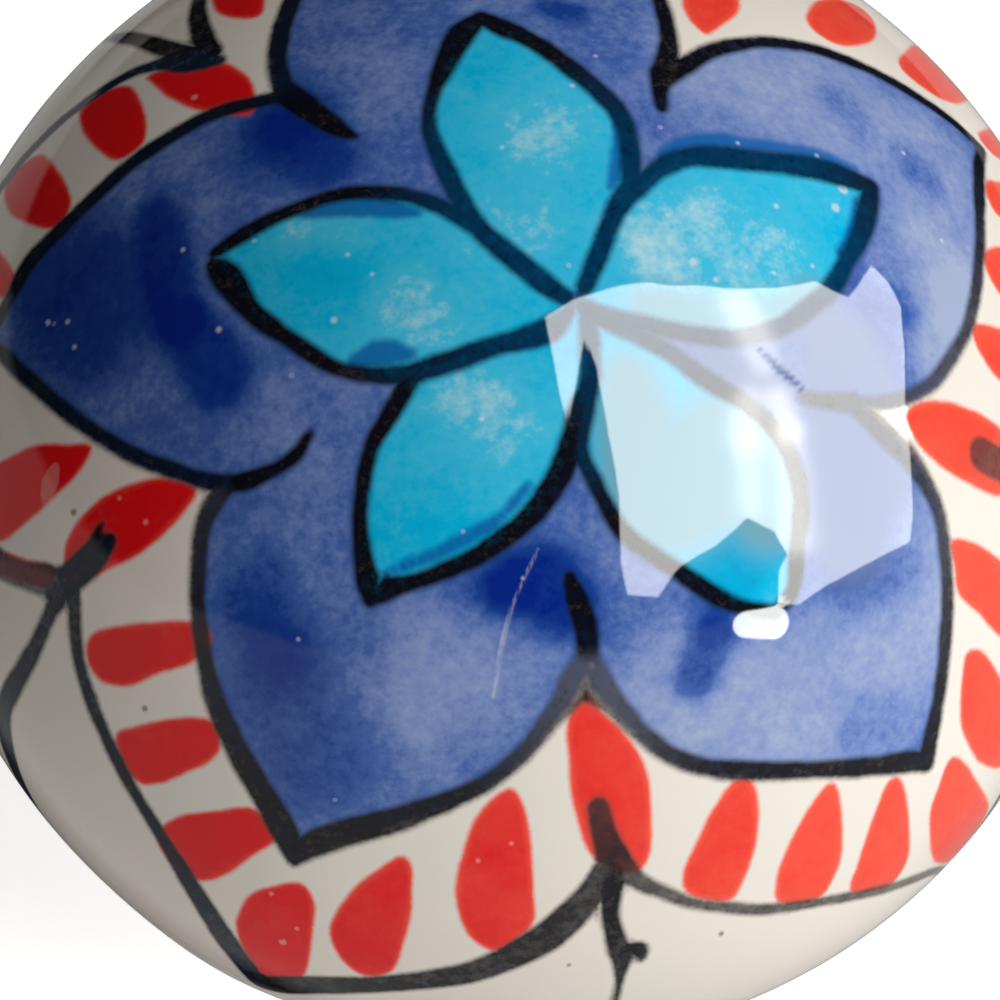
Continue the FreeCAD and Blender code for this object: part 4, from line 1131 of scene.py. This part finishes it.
def cement_material():
    """Grey potting cement: matt, sandy and a little pitted, with painted shade darkening the pits."""
    material, tree, shader, place = new_material("potting_cement_grey")
    specks = bpy.data.node_groups.get("Fine Specks") or speck_group()
    sand = remap(tree, noise(tree, place, 2400.0, 5.0, 0.7), 0.3, 0.7)
    cloud = remap(tree, noise(tree, place, 300.0, 2.0), 0.3, 0.7)
    colour = blend(tree, sand, (0.34, 0.33, 0.3, 1), (0.5, 0.48, 0.44, 1))
    colour = blend(tree, calc(tree, "MULTIPLY", cloud, 0.4), colour, (0.56, 0.53, 0.47, 1))
    # Painted shade: the pits are darkened as well as dented.
    shaded_pits = use_group(tree, specks, Vector=place, Scale=1500.0, Size=0.16, Rarity=0.6)
    colour = blend(tree, shaded_pits, colour, (0.16, 0.15, 0.13, 1))
    put(tree, shader.inputs["Base Color"], colour)
    shader.inputs["Roughness"].default_value = 0.9
    relief = calc(tree, "SUBTRACT", sand, calc(tree, "MULTIPLY", shaded_pits, 2.0))
    bump = add_node(tree, "ShaderNodeBump")
    bump.inputs["Strength"].default_value = 0.8
    bump.inputs["Distance"].default_value = 0.05 * MM
    put(tree, bump.inputs["Height"], relief)
    put(tree, shader.inputs["Normal"], bump.outputs[0])
    return material


# Pieces.


class KNOB_OT_glazed_head(bpy.types.Operator):
    """Build the painted and glazed head round its solid"""

    bl_idname = "knob.glazed_head"
    bl_label = "Glazed head"

    def execute(self, context):
        sizes, colours = context.scene.knob_head, context.scene.knob_paint
        section, way, bare = head_section(sizes)
        rows, columns = len(section), sizes.columns
        azimuth = np.linspace(0, 2 * pi, columns, endpoint=False)
        radius = np.repeat(section[:, :1], columns, axis=1)
        height = np.repeat(section[:, 1:], columns, axis=1)
        lift = np.clip((way / MM - 2) / 10, 0, 1) * np.clip((41 - way / MM) / 8, 0, 1)
        bulge = (azimuth - radians(61)) % (2 * pi) - pi
        wave = (0.27 + 0.31 * np.cos(2 * azimuth - radians(90)) + 0.15 * np.cos(3 * azimuth - radians(210))
                + 0.62 * np.exp(-(bulge / radians(10)) ** 2))
        swelling = sizes.unevenness * (lift**2)[:, None] * wave[None]
        radius = radius + swelling
        piece = add_skin("glazed_head", ring_points(radius, height, azimuth),
                         ring_faces(rows, columns), radians(40))

        slope = np.maximum(np.gradient(section[:, 0], way), 0.35)
        seen_way = way[:, None] + swelling / slope[:, None]
        ring_way = np.concatenate([[0], seen_way[1:-1].ravel(), [way[-1]]]) / MM
        ring_azimuth = np.concatenate([[0], np.tile(azimuth, rows - 2), [0]])
        x, y = ring_way * np.cos(ring_azimuth), ring_way * np.sin(ring_azimuth)
        on_face = ring_way < 38
        mesh = piece.data

        def field(name, outside, values):
            full = np.full((len(x), *values.shape[1:]), outside)
            full[on_face] = values
            add_field(mesh, name, full)

        fx, fy = x[on_face], y[on_face]
        ink, density, tint = ink_fields(fx, fy)
        heart, spread = heart_fields(fx, fy)
        smear = np.maximum(-stroke_field(fx, fy, SMEARS), np.minimum(spread, -heart))
        field("ink_depth", -FIELD_REACH, ink)
        field("ink_tint", 0.0, tint)
        field("ink_density", 1.0, density)
        field("blue_depth", -FIELD_REACH, blue_field(fx, fy))
        field("heart_depth", -FIELD_REACH, heart)
        field("smear_depth", -FIELD_REACH, smear)
        field("dash_depth", -FIELD_REACH, outlines_field(fx, fy, DASHES))
        field("scratch_and_highlight_depth", -FIELD_REACH, -stroke_field(fx, fy, SCRATCH_AND_HIGHLIGHT))
        field("pinhole", -FIELD_REACH, dot_fields(fx, fy, PINHOLES))
        field("speck", -FIELD_REACH, dot_fields(fx, fy, SPECKS))
        field("wash", 0.0, bell_field(fx, fy, WASHES))
        field("painted_reflection_dulling", 0.0, bell_field(fx, fy, PAINTED_REFLECTION_PATCHES))
        add_field(mesh, "bare_clay", np.concatenate([bare[:1], np.repeat(bare[1:-1], columns), bare[-1:]]))
        mesh.materials.append(glazed_paint_material(colours))
        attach(piece, "root")
        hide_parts("ceramic_head")
        return {"FINISHED"}


class KNOB_OT_knurled_insert(bpy.types.Operator):
    """Build the brass insert with its knurl and its thread"""

    bl_idname = "knob.knurled_insert"
    bl_label = "Knurled insert"

    def execute(self, context):
        sizes = context.scene.knob_insert
        outside, inside, bore_end = insert_section(sizes)
        columns = 12 * sizes.knurl_count
        azimuth = np.linspace(0, 2 * pi, columns, endpoint=False)
        spacing = 2 * pi / sizes.knurl_count
        off = np.abs((azimuth + spacing / 2) % spacing - spacing / 2)
        notch = (INSERT_HIGH.x - sizes.knurl_depth) / np.maximum(np.cos(off) - np.sin(off), 0.2)
        skin = np.minimum(outside[:, :1], notch[None])

        height = inside[:, 1:]
        turns = height / sizes.thread_pitch - azimuth[None] / (2 * pi)
        groove = np.abs(2 * (turns % 1.0) - 1.0)
        groove = np.clip(1.15 * groove, 0, 1) * sizes.thread_depth
        start = INSERT_LOW.z + sizes.mouth_diameter / 2 - sizes.core_diameter / 2
        fade = np.clip((height - start) / sizes.thread_pitch + 0.3, 0, 1)
        fade = fade * np.clip((bore_end - height) / sizes.thread_pitch - 0.6, 0, 1)
        bore = inside[:, :1] + groove * fade

        radius = np.vstack([skin, bore])
        heights = np.vstack([np.repeat(outside[:, 1:], columns, axis=1),
                             np.repeat(height, columns, axis=1)])
        piece = add_skin("knurled_insert", ring_points(radius, heights, azimuth),
                         ring_faces(len(radius), columns), radians(30))
        piece.data.materials.append(brass_material(sizes.brass))
        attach(piece, "root")
        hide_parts("threaded_insert")
        return {"FINISHED"}


class KNOB_OT_potting_cement(bpy.types.Operator):
    """Give the potting cement its finish"""

    bl_idname = "knob.potting_cement"
    bl_label = "Potting cement"

    def execute(self, context):
        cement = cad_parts["potting_cement"]
        cement.data.materials.clear()
        cement.data.materials.append(cement_material())
        return {"FINISHED"}


# Stage.

# Outline of the softbox where the glaze mirrors it, on the flat map, in (x, y).
SOFTBOX_MIRRORED = [
    (-1.0, -0.6), (0.0, 0.05), (1.0, 0.4), (2.5, 0.75), (5.0, 0.65), (7.0, 1.0), (8.3, 1.35), (9.5, 1.0),
    (10.5, 2.35), (11.2, 1.8), (11.7, 1.0), (11.85, -0.5), (11.85, -2.2), (12.2, -4.6), (12.4, -6.0),
    (12.4, -7.0), (10.8, -7.9), (9.0, -8.9), (8.0, -9.6), (7.2, -9.6), (7.1, -8.5), (7.4, -7.9),
    (6.9, -7.2), (5.9, -6.9), (4.8, -7.9), (3.6, -8.6), (2.9, -9.6), (1.9, -9.6), (1.6, -8.5),
    (1.4, -6.5), (1.0, -4.0), (0.65, -2.3), (0.3, -1.4), (-0.3, -4.2), (-0.75, -2.0),
]
# The round glint under it, and where its glow is hotter (above nought) or dimmer than the
# rest: (strength, softness, stroke).
GLINT_MIRRORED = [(6.1, -10.35, 0.95), (7.15, -10.25, 1.15)]
HOT_MIRRORED = [
    (0.75, 0.4, [(6.95, -2.9, 0.2), (7.3, -3.8, 0.3)]),
    (0.75, 0.5, [(5.9, -3.2, 0.3), (5.8, -4.1, 0.4)]),
    (0.45, 0.5, [(5.9, -4.9, 0.2), (6.05, -6.4, 0.2)]),
    (0.65, 0.45, [(5.4, 0.2, 0.3), (6.0, -0.8, 0.5), (6.4, -1.6, 0.2)]),
    (0.65, 0.5, [(7.2, -4.1, 0.3), (7.5, -5.6, 0.4), (7.7, -7.2, 0.5)]),
    (-0.1, 2.6, [(11.4, 1.8, 0.6), (11.0, -2.0, 0.8), (11.6, -6.4, 0.8)]),
    (-0.95, 0.06, [(6.2, -1.25, 0.05), (6.8, -1.75, 0.16), (7.7, -2.4, 0.05)]),
]
SOFTBOX_CENTRE = (6.0, -4.5)
SOFTBOX_DISTANCE = 0.5
SOFTBOX_SIZE = 0.5
# Points each way of the softbox's card, and the edge and added heat of the glint drawn on it.
CARD_POINTS = 90
GLINT_EDGE = 0.3
GLINT_HEAT = 0.9
# How far left and down of the head's middle the camera looks.
AIM_LEFT = 0.41 * MM
AIM_DOWN = 1.275 * MM
# Below these great circles of directions the glaze mirrors the pale table in front of the knob,
# and a pale wall on its left.
TABLE_SIDE = (0.087, -0.724, -0.684)
WALL_SIDE = (-0.0165, -0.5516, -0.834)


def camera_axes(stage):
    """The directions from the knob back to the camera, to the picture's right and to its top."""
    elevation, roll = stage.camera_elevation, stage.camera_roll
    back = Vector((-np.sin(roll) * np.cos(elevation), -np.cos(roll) * np.cos(elevation),
                   np.sin(elevation)))
    level = (-back).cross(Vector((0, 0, 1))).normalized()
    steep = level.cross(-back)
    up = steep * np.cos(roll) - level * np.sin(roll)
    return back, (-back).cross(up), up


def head_centre(sizes):
    """Middle of the head, on its axis at the widest line."""
    return Vector((0, 0, HEAD_HIGH.z - (HEAD_HIGH.x - sizes.crown_flattening)))


def face_point(sizes, x, y):
    """The point of the dome and its normal at a place of the flat map, in metres."""
    rise, inset, shoulder, crown, turn = dome_arcs(sizes)
    way, azimuth = np.hypot(x, y) * MM, np.arctan2(y, x)
    lean = way / crown
    radius, height = crown * np.sin(lean), HEAD_HIGH.z - crown + crown * np.cos(lean)
    if lean > pi / 2 - turn:
        lean = pi / 2 - turn + (way - crown * (pi / 2 - turn)) / shoulder
        radius = inset + shoulder * np.sin(lean)
        height = HEAD_HIGH.z - rise + shoulder * np.cos(lean)
    point = Vector((radius * np.cos(azimuth), radius * np.sin(azimuth), height))
    normal = Vector((np.sin(lean) * np.cos(azimuth), np.sin(lean) * np.sin(azimuth), np.cos(lean)))
    return point, normal


def mirrored_ray(context, x, y):
    """Where the camera's ray goes once the glaze mirrors it at a place of the flat map."""
    sizes, stage = context.scene.knob_head, context.scene.knob_stage
    back, _, _ = camera_axes(stage)
    eye = head_centre(sizes) + back * stage.camera_distance
    point, normal = face_point(sizes, x, y)
    ray = (point - eye).normalized()
    return point, ray - normal * (2 * ray.dot(normal))


def stage_object(name, mesh, **shown):
    """A mesh of the studio, seen only by the kinds of ray that are named."""
    obj = bpy.data.objects.new(name, mesh)
    bpy.context.scene.collection.objects.link(obj)
    for kind in ("camera", "diffuse", "glossy", "transmission", "shadow", "volume_scatter"):
        setattr(obj, f"visible_{kind}", shown.get(kind, False))
    return obj


def softbox_material(strength):
    """Glow of the softbox inside its painted outline, and nothing outside."""
    material = bpy.data.materials.new("softbox_glow")
    material.use_nodes = True
    tree = material.node_tree
    tree.nodes.clear()
    heat = calc(tree, "MULTIPLY", calc(tree, "ADD", painted(tree, "hot"), 1.0), strength)
    glow = add_node(tree, "ShaderNodeEmission", (1.0, 0.99, 0.955, 1), heat)
    clear = add_node(tree, "ShaderNodeBsdfTransparent")
    inside = remap(tree, painted(tree, "depth"), -0.05, 0.07)
    mix = add_node(tree, "ShaderNodeMixShader", inside, clear.outputs[0], glow.outputs[0])
    output = add_node(tree, "ShaderNodeOutputMaterial")
    tree.links.new(mix.outputs[0], output.inputs[0])
    return material


def add_softbox_card(context, strength):
    """A flat card whose picture in the glaze is the softbox drawn on the flat map.

    A grid over the drawing is carried out along the mirrored rays of the camera until
    it meets the card's plane, and each of its points keeps what is drawn there.
    """
    outline = np.array(SOFTBOX_MIRRORED)
    low, high = outline.min(axis=0) - 0.5, outline.max(axis=0) + 0.5
    low[1] -= 1.8
    across = np.linspace(low[0], high[0], CARD_POINTS)
    up = np.linspace(low[1], high[1], CARD_POINTS)
    x, y = (part.ravel() for part in np.meshgrid(across, up))
    middle, axis = mirrored_ray(context, *SOFTBOX_CENTRE)
    plane = middle + axis * SOFTBOX_DISTANCE
    points = []
    for px, py in zip(x, y):
        point, ray = mirrored_ray(context, px, py)
        points.append(tuple(point + ray * ((plane - point).dot(axis) / ray.dot(axis))))
    cell = np.arange(CARD_POINTS - 1)
    corner = (cell[:, None] * CARD_POINTS + cell).ravel()
    faces = np.column_stack([corner, corner + 1, corner + CARD_POINTS + 1, corner + CARD_POINTS]).tolist()
    mesh = bpy.data.meshes.new("softbox_card")
    mesh.from_pydata(points, [], faces)
    glint = nearest_on_path(x, y, smooth_path(GLINT_MIRRORED))[0]
    heat = bell_field(x, y, HOT_MIRRORED) + GLINT_HEAT * (glint < GLINT_EDGE)
    add_field(mesh, "depth", np.maximum(region_field(x, y, outline), -glint))
    add_field(mesh, "hot", heat)
    mesh.materials.append(softbox_material(strength))
    return stage_object("softbox_card", mesh, glossy=True)


def add_lamp(name, place, target, width, height, power, colour=(1, 1, 1)):
    """A soft area lamp turned to its target, which the camera and the glaze don't see."""
    lamp = bpy.data.lights.new(name, "AREA")
    lamp.shape = "RECTANGLE"
    lamp.size, lamp.size_y = width, height
    lamp.energy = power
    lamp.color = colour
    obj = bpy.data.objects.new(name, lamp)
    bpy.context.scene.collection.objects.link(obj)
    obj.location = place
    obj.rotation_mode = "QUATERNION"
    obj.rotation_quaternion = (target - place).to_track_quat("-Z", "Y")
    obj.visible_camera = False
    obj.visible_glossy = False
    return obj


def add_floor():
    """A wide pale floor that shows white to the camera but for the knob's shadow, and nothing from below."""
    half = 3.0
    drop = 0.02 * MM
    mesh = bpy.data.meshes.new("floor")
    mesh.from_pydata([(-half, -half, -drop), (half, -half, -drop), (half, half, -drop),
                      (-half, half, -drop)], [], [(0, 1, 2, 3)])
    material = bpy.data.materials.new("studio_floor")
    material.use_nodes = True
    tree = material.node_tree
    tree.nodes.clear()
    pale = add_node(tree, "ShaderNodeBsdfDiffuse", (0.88, 0.88, 0.88, 1))
    seen = add_node(tree, "ShaderNodeLightPath").outputs["Is Camera Ray"]
    glow = add_node(tree, "ShaderNodeEmission", (1, 1, 1, 1), calc(tree, "MULTIPLY", seen, 0.76))
    both = add_node(tree, "ShaderNodeAddShader", pale.outputs[0], glow.outputs[0])
    clear = add_node(tree, "ShaderNodeBsdfTransparent")
    back = add_node(tree, "ShaderNodeNewGeometry").outputs["Backfacing"]
    mix = add_node(tree, "ShaderNodeMixShader", back, both.outputs[0], clear.outputs[0])
    output = add_node(tree, "ShaderNodeOutputMaterial")
    tree.links.new(mix.outputs[0], output.inputs[0])
    mesh.materials.append(material)
    return stage_object("floor", mesh, camera=True, diffuse=True, transmission=True, shadow=True)


def set_world(ambient, table):
    """White behind the knob, a dim even light on it, and a dark room over a pale table in its glaze."""
    world = bpy.data.worlds.new("studio")
    bpy.context.scene.world = world
    world.use_nodes = True
    tree = world.node_tree
    tree.nodes.clear()
    path = add_node(tree, "ShaderNodeLightPath").outputs
    way = add_node(tree, "ShaderNodeTexCoord").outputs["Generated"]
    axes = add_node(tree, "ShaderNodeSeparateXYZ", way).outputs
    front = add_node(tree, "ShaderNodeVectorMath", way, TABLE_SIDE, operation="DOT_PRODUCT").outputs["Value"]
    wall = add_node(tree, "ShaderNodeVectorMath", way, WALL_SIDE, operation="DOT_PRODUCT").outputs["Value"]
    left = calc(tree, "MULTIPLY", remap(tree, wall, -0.01, 0.03), remap(tree, axes[0], -0.2, -0.4))
    low = calc(tree, "MAXIMUM", remap(tree, front, -0.015, 0.015), left)
    under = calc(tree, "MAXIMUM", remap(tree, axes[2], -0.97, -0.86), remap(tree, axes[0], -0.1, 0.1))
    low = calc(tree, "MULTIPLY", low, under)
    room = blend(tree, low, (0.012, 0.012, 0.014, 1), (table, table, 0.97 * table, 1))
    level = blend(tree, path["Is Glossy Ray"], (ambient, 0.88 * ambient, 0.82 * ambient, 1), room)
    level = blend(tree, path["Is Camera Ray"], level, (1, 1, 1, 1))
    background = add_node(tree, "ShaderNodeBackground", level, 1.0)
    output = add_node(tree, "ShaderNodeOutputWorld")
    tree.links.new(background.outputs[0], output.inputs[0])


class KNOB_OT_studio(bpy.types.Operator):
    """Set up the camera, the softbox, the floor and the world"""

    bl_idname = "knob.studio"
    bl_label = "Studio"

    def execute(self, context):
        sizes, stage = context.scene.knob_head, context.scene.knob_stage
        centre = head_centre(sizes)
        back, right, up = camera_axes(stage)
        eye = centre + back * stage.camera_distance
        aim = centre - right * AIM_LEFT - up * AIM_DOWN

        data = bpy.data.cameras.new("camera")
        data.lens = stage.lens
        data.clip_start, data.clip_end = 0.01, 20.0
        camera = bpy.data.objects.new("camera", data)
        context.scene.collection.objects.link(camera)
        look = (eye - aim).normalized()
        side = up.cross(look).normalized()
        turn = Matrix((side, look.cross(side), look)).transposed()
        camera.matrix_world = Matrix.Translation(eye) @ turn.to_4x4()
        context.scene.camera = camera

        _, axis = mirrored_ray(context, *SOFTBOX_CENTRE)
        add_softbox_card(context, stage.softbox_glow)
        add_lamp("softbox", centre + axis * SOFTBOX_DISTANCE, centre, SOFTBOX_SIZE, SOFTBOX_SIZE,
                 stage.softbox_power)
        low = Vector((0.1, -0.99, 0.08))
        add_lamp("low_fill", centre + low * 0.5, centre, 0.25, 0.1, stage.fill_power)
        add_floor()
        set_world(stage.ambient, stage.table_glow)
        context.scene.view_settings.view_transform = "Standard"
        return {"FINISHED"}


PIECES = (KNOB_OT_glazed_head, KNOB_OT_knurled_insert, KNOB_OT_potting_cement, KNOB_OT_studio)
SETTINGS = {
    "knob_head": KnobHeadSettings,
    "knob_paint": KnobPaintSettings,
    "knob_insert": KnobInsertSettings,
    "knob_stage": KnobStageSettings,
}


class KNOB_PT_panel(bpy.types.Panel):
    """Lists the knob's pieces and their settings"""

    bl_idname = "KNOB_PT_panel"
    bl_label = "Painted Knob"
    bl_space_type = "VIEW_3D"
    bl_region_type = "UI"
    bl_category = "Knob"

    def draw(self, context):
        for piece in PIECES:
            self.layout.operator(piece.bl_idname)
        for name, settings in SETTINGS.items():
            box = self.layout.box()
            for label in settings.__annotations__:
                box.prop(getattr(context.scene, name), label)


def register():
    for item in (*SETTINGS.values(), *PIECES, KNOB_PT_panel):
        bpy.utils.register_class(item)
    for name, settings in SETTINGS.items():
        setattr(bpy.types.Scene, name, PointerProperty(type=settings))


def unregister():
    for name in SETTINGS:
        delattr(bpy.types.Scene, name)
    for item in reversed((*SETTINGS.values(), *PIECES, KNOB_PT_panel)):
        bpy.utils.unregister_class(item)


def main():
    register()
    bpy.ops.knob.glazed_head()
    bpy.ops.knob.knurled_insert()
    bpy.ops.knob.potting_cement()
    bpy.ops.knob.studio()


if __name__ == "__main__":
    main()
